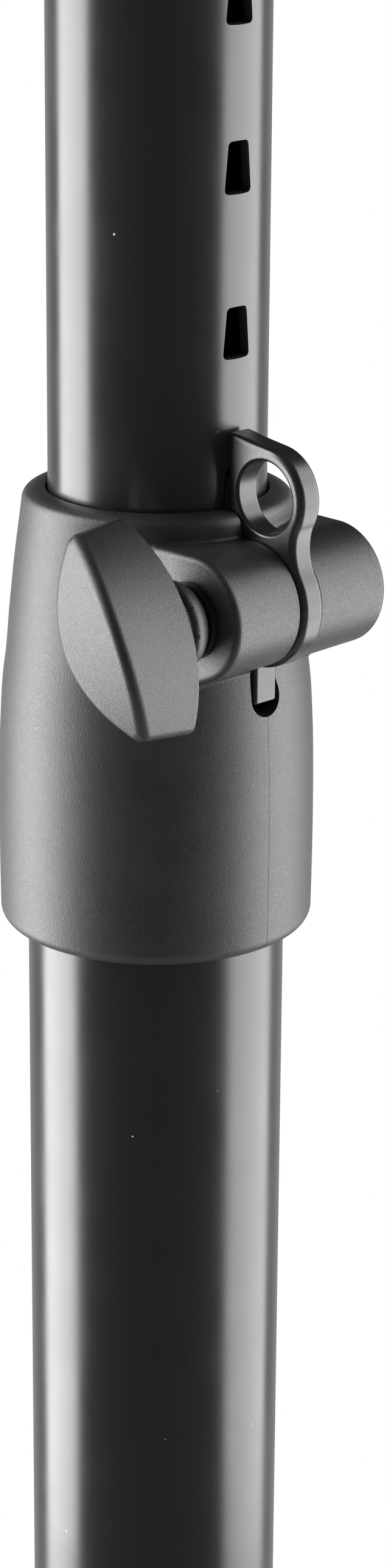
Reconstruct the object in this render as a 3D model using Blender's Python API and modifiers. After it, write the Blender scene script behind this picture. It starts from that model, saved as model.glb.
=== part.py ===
"""Height adjustable studio monitor stand with a latch and wing screw clamp.

Metres, +Z up. The origin is on the floor, on the axis of the column.
The clamp's latch faces -Y and its wing knob stands out towards -X.
"""
import math

import bmesh
import bpy
from mathutils import Matrix, Vector

# Clearances
GAP = 0.0003
RUNNING_GAP = 0.0003
MERGE = 0.00001

# Facets of the round pieces
TUBE_FACETS = 64
TRIM_FACETS = 48
ROUND_FACETS = 32
SMALL_FACETS = 20
SCREW_FACETS = 12
CORNER_STEPS = 4
SLOT_CORNER_STEPS = 3
ARC_STEPS = 14
WAIST_STEPS = 5
BOSS_STEPS = 20
HOLE_STEPS = 28
WING_STEPS = 12
WING_EDGE_STEPS = 3
COIL_STEPS = 12

# Low domed screw heads: flat top and straight rim as shares of radius and height
DOME_FLAT = 0.7
DOME_RIM = 0.4

# Base plate and its feet
BASE_WIDTH = 0.450
BASE_DEPTH = 0.400
BASE_THICKNESS = 0.008
BASE_CORNER = 0.045
BASE_EDGE_ROUND = 0.0015
FOOT_RADIUS = 0.022
FOOT_HEIGHT = 0.012
FOOT_INSET = 0.042
FOOT_EDGE = 0.002
FOOT_RECESS_RADIUS = 0.0075
FOOT_RECESS_DEPTH = 0.0065
FOOT_SCREW_RADIUS = 0.0030
FOOT_SCREW_HEAD_RADIUS = 0.0060
FOOT_SCREW_HEAD_HEIGHT = 0.0033
FOOT_SCREW_BITE = 0.0060

# Column bolt that holds the tube on the plate
BOLT_RADIUS = 0.0060
BOLT_HEAD_ACROSS_CORNERS = 0.0204
BOLT_HEAD_HEIGHT = 0.0065
BOLT_LENGTH = 0.032
BOLT_WASHER_RADIUS = 0.018
BOLT_WASHER_THICKNESS = 0.0030
PLUG_HEIGHT = 0.030
TRIM_RADIUS = 0.046
TRIM_HEIGHT = 0.016
TRIM_LIP = 0.003

# Tubes of the column
OUTER_RADIUS = 0.0250
OUTER_WALL = 0.0020
INNER_RADIUS = 0.0207
INNER_WALL = 0.0020
INNER_BOTTOM = 0.340
INNER_LENGTH = 0.670

# Row of locking slots in the inner tube
SLOT_PITCH = 0.030
SLOTS_ABOVE = 8
SLOTS_BELOW = 4
SLOT_TOP_WIDTH = 0.0048
SLOT_BOTTOM_WIDTH = 0.0067
SLOT_HEIGHT = 0.0092
SLOT_CORNER = 0.0007

# Clamp collar
COLLAR_FLOOR_HEIGHT = 0.640
COLLAR_HEIGHT = 0.0862
COLLAR_WALL = 0.0050
NECK_WALL = 0.0031
SHOULDER_WALL = 0.0041
NECK_DROP = 0.0310
SHOULDER_DROP = 0.0380
BELLY_DROP = 0.0690
RIM_WIDTH = 0.0037
RIM_LIP_GAP = 0.0009
RIM_LIP_DEPTH = 0.0030
RIM_EDGE = 0.0013
FOOT_ROUND = 0.0018
SLIT_WIDTH = 0.0062
SLIT_END_RADIUS = 0.0037
SLIT_DEPTH = 0.0391

# Ears of the collar, around the clamp screw
PIVOT_STANDOFF = 0.0083
PIVOT_DROP = 0.0165
EAR_RADIUS = 0.0117
EAR_HALF_SPAN = 0.0195
EAR_UNDERSIDE_ANGLE = 25.0
EAR_EDGE = 0.0012

# Guide bush between the collar and the inner tube
BUSH_WALL = 0.0016
BUSH_FLANGE_THICKNESS = 0.0020
BUSH_SPLIT = 0.0076
TUBE_DROP = 0.0427

# Clamp screw, its insert and washer
STUD_RADIUS = 0.0039
STUD_REACH = 0.0140
STUD_HEAD_RADIUS = 0.0054
STUD_HEAD_LENGTH = 0.0045
INSERT_RADIUS = 0.0065
INSERT_LENGTH = 0.0090
INSERT_START = 0.0080
WASHER_RADIUS = 0.0072
WASHER_THICKNESS = 0.0014

# Wing knob
WING_HALF_LENGTH = 0.0205
WING_HALF_THICKNESS = 0.0080
WING_TIP_HALF = 0.0012
WING_INNER_GAP = 0.0070
WING_TIP_WIDTH = 0.0123
WING_CROWN = 0.0040
WING_HOLLOW = 0.0015
WING_DRAFT = 0.0012
WING_RAISE = 0.0008
WING_EDGE = 0.0011
WING_END_INSET = 0.0005
WING_TILT = 27.8
HUB_RADIUS = 0.0082
HUB_ROOT_RADIUS = 0.0076
HUB_EDGE = 0.0008
STUD_HEAD_DEPTH = 0.0130

# Latch, sizes measured from its pivot: forward is -Y
LATCH_THICKNESS = 0.0042
LATCH_BOSS_THICKNESS = 0.0056
LATCH_BOSS_RADIUS = 0.0090
LATCH_RING_RADIUS = 0.0124
LATCH_LOBE_RADIUS = 0.0094
LATCH_LOBE_FORWARD = 0.0016
LATCH_LOBE_UP = 0.0201
LATCH_WAIST_ROUND = 0.0095
LATCH_HOLE_RADIUS = 0.0068
LATCH_TIP_UP = 0.0308
LATCH_HOOK_TOP = 0.0226
LATCH_HOOK_HEIGHT = 0.0078
LATCH_HOOK_DEPTH = 0.0006
LATCH_HOOK_SLOPE = 0.0012
LATCH_TAIL_DROP = 0.0200
LATCH_TAIL_FORWARD = 0.0003
LATCH_TAIL_SLOPE = 13.0
LATCH_SWING = 12.0
LATCH_CORNER = 0.0006
LATCH_EDGE = 0.0004

# Torsion spring of the latch
SPRING_RADIUS = 0.0060
SPRING_WIRE = 0.0004
SPRING_TURNS = 2
SPRING_PITCH = 0.0011
SPRING_TANG = 0.0022
SPRING_POCKET_RADIUS = 0.0015
SPRING_POCKET_DEPTH = 0.0026
SPRING_BEND = 0.0006

# Screw at the back that pins the collar to the outer tube
PIN_SCREW_RADIUS = 0.0020
PIN_SCREW_HEAD_RADIUS = 0.0040
PIN_SCREW_HEAD_HEIGHT = 0.0024
PIN_SCREW_UP = 0.020
PIN_SCREW_RECESS = 0.0026
PIN_SCREW_EDGE = 0.0003

# Lower glide of the inner tube
GLIDE_FLANGE = 0.010
GLIDE_SLEEVE = 0.028
GLIDE_WALL = 0.0040
GLIDE_PIN_RADIUS = 0.0020
GLIDE_PIN_UP = 0.012

# Head: socket, plate, mat and their screws
SPIGOT_LENGTH = 0.030
SPIGOT_WALL = 0.0060
FLANGE_RADIUS = 0.055
FLANGE_THICKNESS = 0.005
SOCKET_SCREW_RADIUS = 0.0025
SOCKET_SCREW_HEAD_RADIUS = 0.0045
SOCKET_SCREW_HEAD_HEIGHT = 0.0026
SOCKET_SCREW_LENGTH = 0.0070
SOCKET_SCREW_DROP = 0.015
TOP_WIDTH = 0.250
TOP_DEPTH = 0.300
TOP_THICKNESS = 0.004
TOP_CORNER = 0.022
TOP_EDGE_ROUND = 0.0010
PLATE_SCREW_RADIUS = 0.0030
PLATE_SCREW_HEAD_RADIUS = 0.0055
PLATE_SCREW_HEAD_HEIGHT = 0.0033
PLATE_SCREW_CIRCLE = 0.040
MAT_INSET = 0.006
MAT_THICKNESS = 0.003
MAT_EDGE = 0.0006

# Heights worked out from the sizes above
BASE_BOTTOM = FOOT_HEIGHT + GAP
BASE_TOP = BASE_BOTTOM + BASE_THICKNESS
TUBE_BOTTOM = BASE_TOP + GAP
RIM_Z = COLLAR_FLOOR_HEIGHT + COLLAR_HEIGHT
PIVOT_Z = RIM_Z - PIVOT_DROP
PIVOT_Y = -(INNER_RADIUS + PIVOT_STANDOFF)
OUTER_TOP = RIM_Z - TUBE_DROP
INNER_TOP = INNER_BOTTOM + INNER_LENGTH
FLANGE_Z = INNER_TOP + GAP
TOP_PLATE_Z = FLANGE_Z + FLANGE_THICKNESS + GAP
MAT_Z = TOP_PLATE_Z + TOP_THICKNESS + GAP

# Radii worked out from the sizes above
OUTER_BORE = OUTER_RADIUS - OUTER_WALL
INNER_BORE = INNER_RADIUS - INNER_WALL
BUSH_BORE = INNER_RADIUS + RUNNING_GAP
BUSH_RADIUS = BUSH_BORE + BUSH_WALL
SLEEVE_BORE = OUTER_RADIUS + GAP
LIP_BORE = INNER_RADIUS + RIM_LIP_GAP
RIM_RADIUS = LIP_BORE + RIM_WIDTH
STUD_HOLE = STUD_RADIUS + RUNNING_GAP
# The ears' hidden corners end halfway through the collar's thinnest wall
EAR_ROOT_RADIUS = (BUSH_RADIUS + GAP + RIM_RADIUS) / 2.0
EAR_ROOT = math.sqrt(max(EAR_ROOT_RADIUS ** 2 - EAR_HALF_SPAN ** 2, 0.0))
SLIT_HALF = SLIT_WIDTH / 2.0
CLEAR_OF_ALL = 0.050

# Turns a flat outline's x, y and thickness to world Y, Z and X
ALONG_X = (math.pi / 2.0, 0.0, math.pi / 2.0)
# Turns a turned piece's axis from Z to X or to Y
AXIS_X = (0.0, math.pi / 2.0, 0.0)
AXIS_Y = (-math.pi / 2.0, 0.0, 0.0)
UPRIGHT = (0.0, 0.0, 0.0)


def clear_scene():
    for obj in list(bpy.data.objects):
        bpy.data.objects.remove(obj, do_unlink=True)


def collection(name):
    made = bpy.data.collections.new(name)
    bpy.context.scene.collection.children.link(made)
    return made


def material(name, colour, roughness, metallic=0.0):
    made = bpy.data.materials.new(name)
    made.use_nodes = True
    shader = made.node_tree.nodes["Principled BSDF"]
    shader.inputs["Base Color"].default_value = (*colour, 1.0)
    shader.inputs["Roughness"].default_value = roughness
    shader.inputs["Metallic"].default_value = metallic
    return made


clear_scene()
PARTS = collection("studio_monitor_stand")
CUTTERS = collection("cutters")


def add(name, mesh, finish=None, turn=UPRIGHT, at=(0.0, 0.0, 0.0)):
    """Link a mesh as a named part, or as a hidden cutter if it has no finish."""
    obj = bpy.data.objects.new(name, mesh)
    obj.rotation_euler = turn
    obj.location = at
    if finish is None:
        CUTTERS.objects.link(obj)
        obj.hide_render = True
        obj.display_type = "WIRE"
    else:
        PARTS.objects.link(obj)
        mesh.materials.append(finish)
    return obj


def evaluated_mesh(obj):
    bpy.context.view_layer.update()
    graph = bpy.context.evaluated_depsgraph_get()
    return bpy.data.meshes.new_from_object(obj.evaluated_get(graph))


def weld(mesh):
    shape = bmesh.new()
    shape.from_mesh(mesh)
    bmesh.ops.remove_doubles(shape, verts=shape.verts, dist=MERGE)
    bmesh.ops.recalc_face_normals(shape, faces=shape.faces)
    shape.to_mesh(mesh)
    shape.free()


def turned(name, profile, finish=None, facets=ROUND_FACETS, turn=UPRIGHT, at=(0.0, 0.0, 0.0)):
    """Sweep a profile of (radius, height) points about the local Z axis."""
    mesh = bpy.data.meshes.new(name)
    closed = profile[0][0] > 0.0
    points = [(radius, 0.0, height) for radius, height in profile]
    count = len(points)
    edges = [(i, i + 1) for i in range(count - 1)]
    if closed:
        edges.append((count - 1, 0))
    mesh.from_pydata(points, edges, [])
    obj = add(name, mesh, finish, turn, at)
    sweep = obj.modifiers.new("sweep", "SCREW")
    sweep.axis = "Z"
    sweep.angle = 2.0 * math.pi
    sweep.steps = facets
    sweep.render_steps = facets
    sweep.use_merge_vertices = True
    sweep.merge_threshold = MERGE
    sweep.use_smooth_shade = True
    return obj


def ring(outer, inner, low, high):
    """Profile of a plain ring."""
    return [(outer, high), (outer, low), (inner, low), (inner, high)]


def rod(radius, low, high, edge=0.0):
    """Profile of a solid rod, its corners cut by edge."""
    if edge:
        return [(0.0, high), (radius - edge, high), (radius, high - edge), (radius, low + edge),
                (radius - edge, low), (0.0, low)]
    return [(0.0, high), (radius, high), (radius, low), (0.0, low)]


def rounded(corners, steps=CORNER_STEPS):
    """Outline through (x, y, radius) corners, each rounded by its own radius."""
    points = []
    count = len(corners)
    for i, (x, y, radius) in enumerate(corners):
        here = Vector((x, y))
        before = (Vector(corners[i - 1][:2]) - here).normalized()
        after = (Vector(corners[(i + 1) % count][:2]) - here).normalized()
        if radius <= 0.0:
            points.append((x, y))
            continue
        half = before.angle(after) / 2.0
        centre = here + (before + after).normalized() * (radius / math.sin(half))
        start = here + before * (radius / math.tan(half)) - centre
        end = here + after * (radius / math.tan(half)) - centre
        sweep = start.angle_signed(end)
        for step in range(steps + 1):
            spoke = start.copy()
            spoke.rotate(Matrix.Rotation(-sweep * step / steps, 2))
            points.append(tuple(centre + spoke))
    return points


def arc(centre, radius, start, end, steps):
    """Points on a circle from angle start to angle end, both in radians."""
    turns = [start + (end - start) * step / steps for step in range(steps + 1)]
    return [(centre[0] + radius * math.cos(t), centre[1] + radius * math.sin(t)) for t in turns]


def box_outline(width, depth, corner):
    x, y = width / 2.0, depth / 2.0
    return rounded([(x, y, corner), (-x, y, corner), (-x, -y, corner), (x, -y, corner)])


def plate(name, outlines, thickness, finish=None, turn=UPRIGHT, at=(0.0, 0.0, 0.0)):
    """Flat piece from 2D outlines, the first one outside and the others holes."""
    curve = bpy.data.curves.new(name + "_outline", "CURVE")
    curve.dimensions = "2D"
    curve.fill_mode = "BOTH"
    curve.extrude = thickness / 2.0
    for outline in outlines:
        spline = curve.splines.new("POLY")
        spline.points.add(len(outline) - 1)
        for point, (x, y) in zip(spline.points, outline):
            point.co = (x, y, 0.0, 1.0)
        spline.use_cyclic_u = True
    guide = bpy.data.objects.new(name + "_outline", curve)
    CUTTERS.objects.link(guide)
    mesh = evaluated_mesh(guide)
    mesh.name = name
    mesh.materials.clear()
    bpy.data.objects.remove(guide)
    weld(mesh)
    return add(name, mesh, finish, turn, at)


def block(name, low, high):
    """Hidden box from its lowest to its highest corner."""
    shape = bmesh.new()
    bmesh.ops.create_cube(shape, size=1.0)
    size = Vector(high) - Vector(low)
    middle = (Vector(high) + Vector(low)) / 2.0
    place = Matrix.Translation(middle) @ Matrix.Diagonal((*size, 1.0))
    bmesh.ops.transform(shape, verts=shape.verts, matrix=place)
    mesh = bpy.data.meshes.new(name)
    shape.to_mesh(mesh)
    shape.free()
    return add(name, mesh)


def hexagon(name, radius, length, finish=None, turn=UPRIGHT, at=(0.0, 0.0, 0.0)):
    """Six sided bar, centred on its place, radius measured to its corners."""
    shape = bmesh.new()
    bmesh.ops.create_cone(shape, cap_ends=True, segments=6, radius1=radius, radius2=radius, depth=length)
    mesh = bpy.data.meshes.new(name)
    shape.to_mesh(mesh)
    shape.free()
    return add(name, mesh, finish, turn, at)


def boolean(obj, tool, operation):
    step = obj.modifiers.new(tool.name, "BOOLEAN")
    step.operation = operation
    step.object = tool
    step.solver = "EXACT"


def cut(obj, *tools):
    for tool in tools:
        boolean(obj, tool, "DIFFERENCE")


def fuse(obj, *tools):
    for tool in tools:
        boolean(obj, tool, "UNION")


def bevel(obj, width, segments=2, angle=40.0):
    step = obj.modifiers.new("edges", "BEVEL")
    step.width = width
    step.segments = segments
    step.limit_method = "ANGLE"
    step.angle_limit = math.radians(angle)
    step.use_clamp_overlap = True
    return step


def joint_empty(name, at):
    """Empty on a joint's axis that carries the pieces of one moving body."""
    empty = bpy.data.objects.new(name, None)
    empty.location = at
    PARTS.objects.link(empty)
    return empty


def hang(empty, *objects):
    bpy.context.view_layer.update()
    for obj in objects:
        obj.parent = empty
        obj.matrix_parent_inverse = empty.matrix_world.inverted()


STEEL_BLACK = material("black_powder_coat", (0.020, 0.020, 0.021), 0.45)
TUBE_BLACK = material("black_satin_paint", (0.016, 0.016, 0.017), 0.30)
PLASTIC_GREY = material("dark_grey_plastic", (0.060, 0.061, 0.063), 0.55)
LATCH_BLACK = material("latch_black", (0.030, 0.030, 0.031), 0.28)
SLIDE_PLASTIC = material("slide_plastic", (0.050, 0.050, 0.052), 0.40)
RUBBER = material("black_rubber", (0.018, 0.018, 0.018), 0.85)
ZINC = material("zinc_plated_steel", (0.55, 0.56, 0.57), 0.30, 1.0)
BLACK_SCREW = material("black_oxide_screw", (0.030, 0.030, 0.032), 0.38, 0.8)
BRASS = material("brass", (0.70, 0.55, 0.28), 0.35, 1.0)
SPRING_STEEL = material("spring_steel", (0.50, 0.50, 0.50), 0.25, 1.0)
MAT_RUBBER = material("mat_rubber", (0.025, 0.025, 0.026), 0.90)


def foot_places():
    x = BASE_WIDTH / 2.0 - FOOT_INSET
    y = BASE_DEPTH / 2.0 - FOOT_INSET
    return [(x, y), (-x, y), (-x, -y), (x, -y)]


def make_base():
    base = plate("base_plate", [box_outline(BASE_WIDTH, BASE_DEPTH, BASE_CORNER)], BASE_THICKNESS,
                 STEEL_BLACK, at=(0.0, 0.0, BASE_BOTTOM + BASE_THICKNESS / 2.0))
    bevel(base, BASE_EDGE_ROUND)
    bolt_hole = turned("bolt_hole", rod(BOLT_RADIUS + GAP, BASE_BOTTOM - GAP, BASE_TOP + GAP))
    cut(base, bolt_hole)
    for i, (x, y) in enumerate(foot_places()):
        bite = rod(FOOT_SCREW_RADIUS + GAP, BASE_BOTTOM - GAP, BASE_BOTTOM + FOOT_SCREW_BITE + GAP)
        cut(base, turned("foot_tap_%d" % i, bite, None, SCREW_FACETS, at=(x, y, 0.0)))
    return base


def make_feet():
    recess = FOOT_RECESS_DEPTH
    foot_profile = [(FOOT_RADIUS, FOOT_HEIGHT), (FOOT_RADIUS, FOOT_EDGE), (FOOT_RADIUS - FOOT_EDGE, 0.0),
                    (FOOT_RECESS_RADIUS, 0.0),
                    (FOOT_RECESS_RADIUS, recess), (FOOT_SCREW_RADIUS + GAP, recess),
                    (FOOT_SCREW_RADIUS + GAP, FOOT_HEIGHT)]
    head_top = recess - GAP
    head_low = head_top - FOOT_SCREW_HEAD_HEIGHT
    screw_top = BASE_BOTTOM + FOOT_SCREW_BITE
    screw_profile = [(0.0, screw_top), (FOOT_SCREW_RADIUS, screw_top), (FOOT_SCREW_RADIUS, head_top),
                     (FOOT_SCREW_HEAD_RADIUS, head_top), (FOOT_SCREW_HEAD_RADIUS, head_low), (0.0, head_low)]
    for i, (x, y) in enumerate(foot_places(), 1):
        turned("base_foot_%d" % i, foot_profile, RUBBER, SMALL_FACETS, at=(x, y, 0.0))
        turned("foot_screw_%d" % i, screw_profile, ZINC, SCREW_FACETS, at=(x, y, 0.0))


def make_column_fixing():
    plug_top = TUBE_BOTTOM + PLUG_HEIGHT
    turned("column_plug", ring(OUTER_BORE - GAP, BOLT_RADIUS + GAP, TUBE_BOTTOM, plug_top), ZINC)
    washer_top = BASE_BOTTOM - GAP
    washer_low = washer_top - BOLT_WASHER_THICKNESS
    turned("bolt_washer", ring(BOLT_WASHER_RADIUS, BOLT_RADIUS + GAP, washer_low, washer_top), ZINC)
    head_top = washer_low - GAP
    bolt = hexagon("column_bolt", BOLT_HEAD_ACROSS_CORNERS / 2.0, BOLT_HEAD_HEIGHT, ZINC,
                   at=(0.0, 0.0, head_top - BOLT_HEAD_HEIGHT / 2.0))
    fuse(bolt, turned("bolt_shank", rod(BOLT_RADIUS, head_top - GAP, head_top + BOLT_LENGTH)))
    trim_top = TUBE_BOTTOM + TRIM_HEIGHT
    bore = OUTER_RADIUS + GAP
    inner_edge = bore + TRIM_LIP
    profile = [(bore, trim_top), (inner_edge, trim_top)]
    rise = TRIM_HEIGHT - TRIM_LIP
    for step in range(1, CORNER_STEPS):
        sweep = math.pi / 2.0 * step / CORNER_STEPS
        radius = inner_edge + (TRIM_RADIUS - inner_edge) * math.sin(sweep)
        profile.append((radius, TUBE_BOTTOM + TRIM_LIP + rise * math.cos(sweep)))
    profile += [(TRIM_RADIUS, TUBE_BOTTOM + TRIM_LIP), (TRIM_RADIUS, TUBE_BOTTOM), (bore, TUBE_BOTTOM)]
    turned("base_trim", profile, PLASTIC_GREY, TRIM_FACETS)


def make_outer_tube():
    wall = ring(OUTER_RADIUS, OUTER_BORE, TUBE_BOTTOM, OUTER_TOP)
    tube = turned("outer_tube", wall, TUBE_BLACK, TUBE_FACETS)
    hole = rod(PIN_SCREW_RADIUS + GAP, OUTER_BORE - OUTER_WALL, OUTER_RADIUS + OUTER_WALL)
    at = (0.0, 0.0, COLLAR_FLOOR_HEIGHT + PIN_SCREW_UP)
    cut(tube, turned("pin_screw_hole", hole, None, SCREW_FACETS, AXIS_Y, at))
    return tube


def collar_profile():
    """Outline of the collar's wall, down the outside and up the stepped bore."""
    return [(RIM_RADIUS - RIM_EDGE, RIM_Z), (RIM_RADIUS, RIM_Z - RIM_EDGE),
            (SLEEVE_BORE + NECK_WALL, RIM_Z - NECK_DROP),
            (SLEEVE_BORE + SHOULDER_WALL, RIM_Z - SHOULDER_DROP),
            (SLEEVE_BORE + (SHOULDER_WALL + COLLAR_WALL) / 2.0, RIM_Z - (SHOULDER_DROP + BELLY_DROP) / 2.0),
            (SLEEVE_BORE + COLLAR_WALL, RIM_Z - BELLY_DROP),
            (SLEEVE_BORE + COLLAR_WALL, COLLAR_FLOOR_HEIGHT + FOOT_ROUND),
            (SLEEVE_BORE + COLLAR_WALL - FOOT_ROUND, COLLAR_FLOOR_HEIGHT),
            (SLEEVE_BORE, COLLAR_FLOOR_HEIGHT), (SLEEVE_BORE, OUTER_TOP + BUSH_FLANGE_THICKNESS + 2.0 * GAP),
            (BUSH_RADIUS + GAP, OUTER_TOP + BUSH_FLANGE_THICKNESS + 2.0 * GAP),
            (BUSH_RADIUS + GAP, RIM_Z - RIM_LIP_DEPTH), (LIP_BORE, RIM_Z - RIM_LIP_DEPTH), (LIP_BORE, RIM_Z)]


def ear_outline():
    """Side view of the ears, in world Y and Z from the pivot."""
    slope = math.radians(EAR_UNDERSIDE_ANGLE)
    back = -PIVOT_Y - EAR_ROOT
    nose = arc((0.0, 0.0), EAR_RADIUS, math.pi / 2.0, 1.5 * math.pi - slope, ARC_STEPS)
    last_y, last_z = nose[-1]
    return nose + [(back, last_z - (back - last_y) * math.tan(slope)), (back, EAR_RADIUS)]


def make_collar():
    collar = turned("clamp_collar", collar_profile(), PLASTIC_GREY, TUBE_FACETS)
    pivot = (0.0, PIVOT_Y, PIVOT_Z)
    ears = plate("ear_block", [ear_outline()], 2.0 * EAR_HALF_SPAN, None, ALONG_X, pivot)
    bevel(ears, EAR_EDGE, 2, 60.0)
    well = turned("ear_well", rod(BUSH_RADIUS + GAP, PIVOT_Z - CLEAR_OF_ALL, RIM_Z - RIM_LIP_DEPTH), None,
                  TUBE_FACETS)
    cut(ears, well)
    fuse(collar, ears)
    slit_end = RIM_Z - SLIT_DEPTH + SLIT_END_RADIUS
    front = PIVOT_Y - CLEAR_OF_ALL
    slit = block("slit", (-SLIT_HALF, front, slit_end), (SLIT_HALF, -INNER_BORE, RIM_Z + CLEAR_OF_ALL))
    slit_hole = turned("slit_hole", rod(SLIT_END_RADIUS, front, -INNER_BORE), None, ROUND_FACETS, AXIS_Y,
                       (0.0, 0.0, slit_end))
    stud_hole = turned("stud_hole", rod(STUD_HOLE, -CLEAR_OF_ALL, INSERT_START + INSERT_LENGTH), None,
                       SMALL_FACETS, AXIS_X, pivot)
    pocket = hexagon("insert_pocket", INSERT_RADIUS + GAP, INSERT_LENGTH + 2.0 * GAP, None, AXIS_X,
                     (INSERT_START + INSERT_LENGTH / 2.0, PIVOT_Y, PIVOT_Z))
    tang = turned("tang_pocket", rod(SPRING_POCKET_RADIUS, 0.0, SLIT_HALF + SPRING_POCKET_DEPTH), None,
                  SMALL_FACETS, AXIS_X, (0.0, *tang_place(LATCH_SWING / 2.0)))
    screw_at = (0.0, 0.0, COLLAR_FLOOR_HEIGHT + PIN_SCREW_UP)
    face = SLEEVE_BORE + COLLAR_WALL
    screw_hole = [(0.0, face + CLEAR_OF_ALL), (PIN_SCREW_HEAD_RADIUS + GAP, face + CLEAR_OF_ALL),
                  (PIN_SCREW_HEAD_RADIUS + GAP, face - PIN_SCREW_RECESS),
                  (PIN_SCREW_RADIUS + GAP, face - PIN_SCREW_RECESS), (PIN_SCREW_RADIUS + GAP, INNER_BORE),
                  (0.0, INNER_BORE)]
    screw_bore = turned("collar_screw_bore", screw_hole, None, SMALL_FACETS, AXIS_Y, screw_at)
    cut(collar, slit, slit_hole, stud_hole, pocket, tang, screw_bore)
    head_low = face - PIN_SCREW_RECESS + GAP
    head_top = head_low + PIN_SCREW_HEAD_HEIGHT
    screw = [(0.0, head_top), (PIN_SCREW_HEAD_RADIUS - PIN_SCREW_EDGE, head_top),
             (PIN_SCREW_HEAD_RADIUS, head_top - PIN_SCREW_EDGE), (PIN_SCREW_HEAD_RADIUS, head_low),
             (PIN_SCREW_RADIUS, head_low), (PIN_SCREW_RADIUS, OUTER_BORE), (0.0, OUTER_BORE)]
    turned("collar_screw", screw, BLACK_SCREW, SMALL_FACETS, AXIS_Y, screw_at)
    return collar


def make_bush():
    low = OUTER_TOP + GAP
    flange_top = low + BUSH_FLANGE_THICKNESS
    top = RIM_Z - RIM_LIP_DEPTH - GAP
    profile = [(BUSH_RADIUS, top), (BUSH_RADIUS, flange_top), (OUTER_RADIUS, flange_top),
               (OUTER_RADIUS, low), (BUSH_BORE, low), (BUSH_BORE, top)]
    bush = turned("guide_bush", profile, SLIDE_PLASTIC, TUBE_FACETS)
    half = BUSH_SPLIT / 2.0
    split = block("bush_split", (-half, -OUTER_RADIUS - CLEAR_OF_ALL, low - GAP), (half, 0.0, top + GAP))
    cut(bush, split)
    return bush


def make_insert():
    insert = hexagon("threaded_insert", INSERT_RADIUS, INSERT_LENGTH, BRASS, AXIS_X,
                     (INSERT_START + INSERT_LENGTH / 2.0, PIVOT_Y, PIVOT_Z))
    cut(insert, turned("insert_bore", rod(STUD_HOLE, 0.0, CLEAR_OF_ALL), None, SMALL_FACETS, AXIS_X,
                       (0.0, PIVOT_Y, PIVOT_Z)))


def make_wing_screw():
    """Washer, knob and stud, all about the clamp axis along X."""
    pivot = (0.0, PIVOT_Y, PIVOT_Z)
    washer_high = -EAR_HALF_SPAN - GAP
    washer_low = washer_high - WASHER_THICKNESS
    washer = turned("thrust_washer", ring(WASHER_RADIUS, STUD_HOLE, washer_low, washer_high), BLACK_SCREW,
                    ROUND_FACETS, AXIS_X, pivot)
    hub_end = washer_low - GAP
    inner = hub_end - WING_INNER_GAP
    outer = inner - WING_TIP_WIDTH
    wing_turn = (-math.radians(WING_TILT), 0.0, 0.0)
    knob = make_wing("wing_knob", inner, outer, PLASTIC_GREY, wing_turn, pivot)
    hub_root = inner + WING_HOLLOW / 2.0
    hub_profile = [(0.0, hub_end), (HUB_RADIUS - HUB_EDGE, hub_end), (HUB_RADIUS, hub_end - HUB_EDGE),
                   (HUB_ROOT_RADIUS, hub_root), (0.0, hub_root)]
    hub = turned("wing_hub", hub_profile, None, ROUND_FACETS, AXIS_X, pivot)
    fuse(knob, hub)
    head_high = inner - STUD_HEAD_DEPTH + STUD_HEAD_LENGTH
    head_low = head_high - STUD_HEAD_LENGTH
    head_at = ((head_high + head_low) / 2.0, PIVOT_Y, PIVOT_Z)
    bore = turned("knob_bore", rod(STUD_RADIUS + GAP, head_low, CLEAR_OF_ALL), None, SMALL_FACETS,
                  AXIS_X, pivot)
    pocket = hexagon("knob_pocket", STUD_HEAD_RADIUS + GAP, STUD_HEAD_LENGTH + 2.0 * GAP, None,
                     AXIS_X, head_at)
    cut(knob, bore, pocket)
    stud = hexagon("clamp_stud", STUD_HEAD_RADIUS, STUD_HEAD_LENGTH, ZINC, AXIS_X, head_at)
    shank = rod(STUD_RADIUS, head_low + GAP, STUD_REACH)
    fuse(stud, turned("stud_shank", shank, None, SMALL_FACETS, AXIS_X, pivot))
    return washer, knob, stud


def make_wing(name, inner, outer, finish, turn, at):
    """Wing as rounded rings along local Z: lens shaped, crowned outside, bowed inside, its ends drafted."""
    bulge = WING_HALF_THICKNESS - WING_TIP_HALF
    radius = (WING_HALF_LENGTH ** 2 + bulge ** 2) / (2.0 * bulge)
    end = 1.0 - WING_EDGE / WING_HALF_LENGTH
    shares = [2.0 * step / WING_STEPS - 1.0 for step in range(1, WING_STEPS)]
    points, faces = [], []
    for share in (-1.0, -end, *shares, end, 1.0):
        inset = WING_END_INSET if abs(share) == 1.0 else 0.0
        dip = radius - math.sqrt(radius ** 2 - (share * WING_HALF_LENGTH) ** 2)
        thick = WING_HALF_THICKNESS - dip - inset
        bow = 1.0 - share * share
        low = outer - WING_CROWN * bow + inset
        high = inner + WING_HOLLOW * bow - inset
        corners = [(low, -thick, WING_EDGE - inset), (high, -thick, WING_EDGE - inset),
                   (high, thick, WING_EDGE - inset), (low, thick, WING_EDGE - inset)]
        for x, y in rounded(corners, WING_EDGE_STEPS):
            half = WING_HALF_LENGTH - WING_DRAFT * (inner - x) / (inner - outer)
            points.append((x, y, share * half + WING_RAISE))
    count = 4 * (WING_EDGE_STEPS + 1)
    last = len(points) // count - 1
    for ring in range(last):
        for i in range(count):
            here, after = ring * count + i, ring * count + (i + 1) % count
            faces.append((here, after, after + count, here + count))
    faces.append(tuple(reversed(range(count))))
    faces.append(tuple(range(last * count, (last + 1) * count)))
    mesh = bpy.data.meshes.new(name)
    mesh.from_pydata(points, [], faces)
    return add(name, mesh, finish, turn, at)


def forward(points):
    """Latch sizes of (forward, up) to the outline's own x along +Y and y along +Z."""
    return [(-ahead, up) for ahead, up in points]


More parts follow.
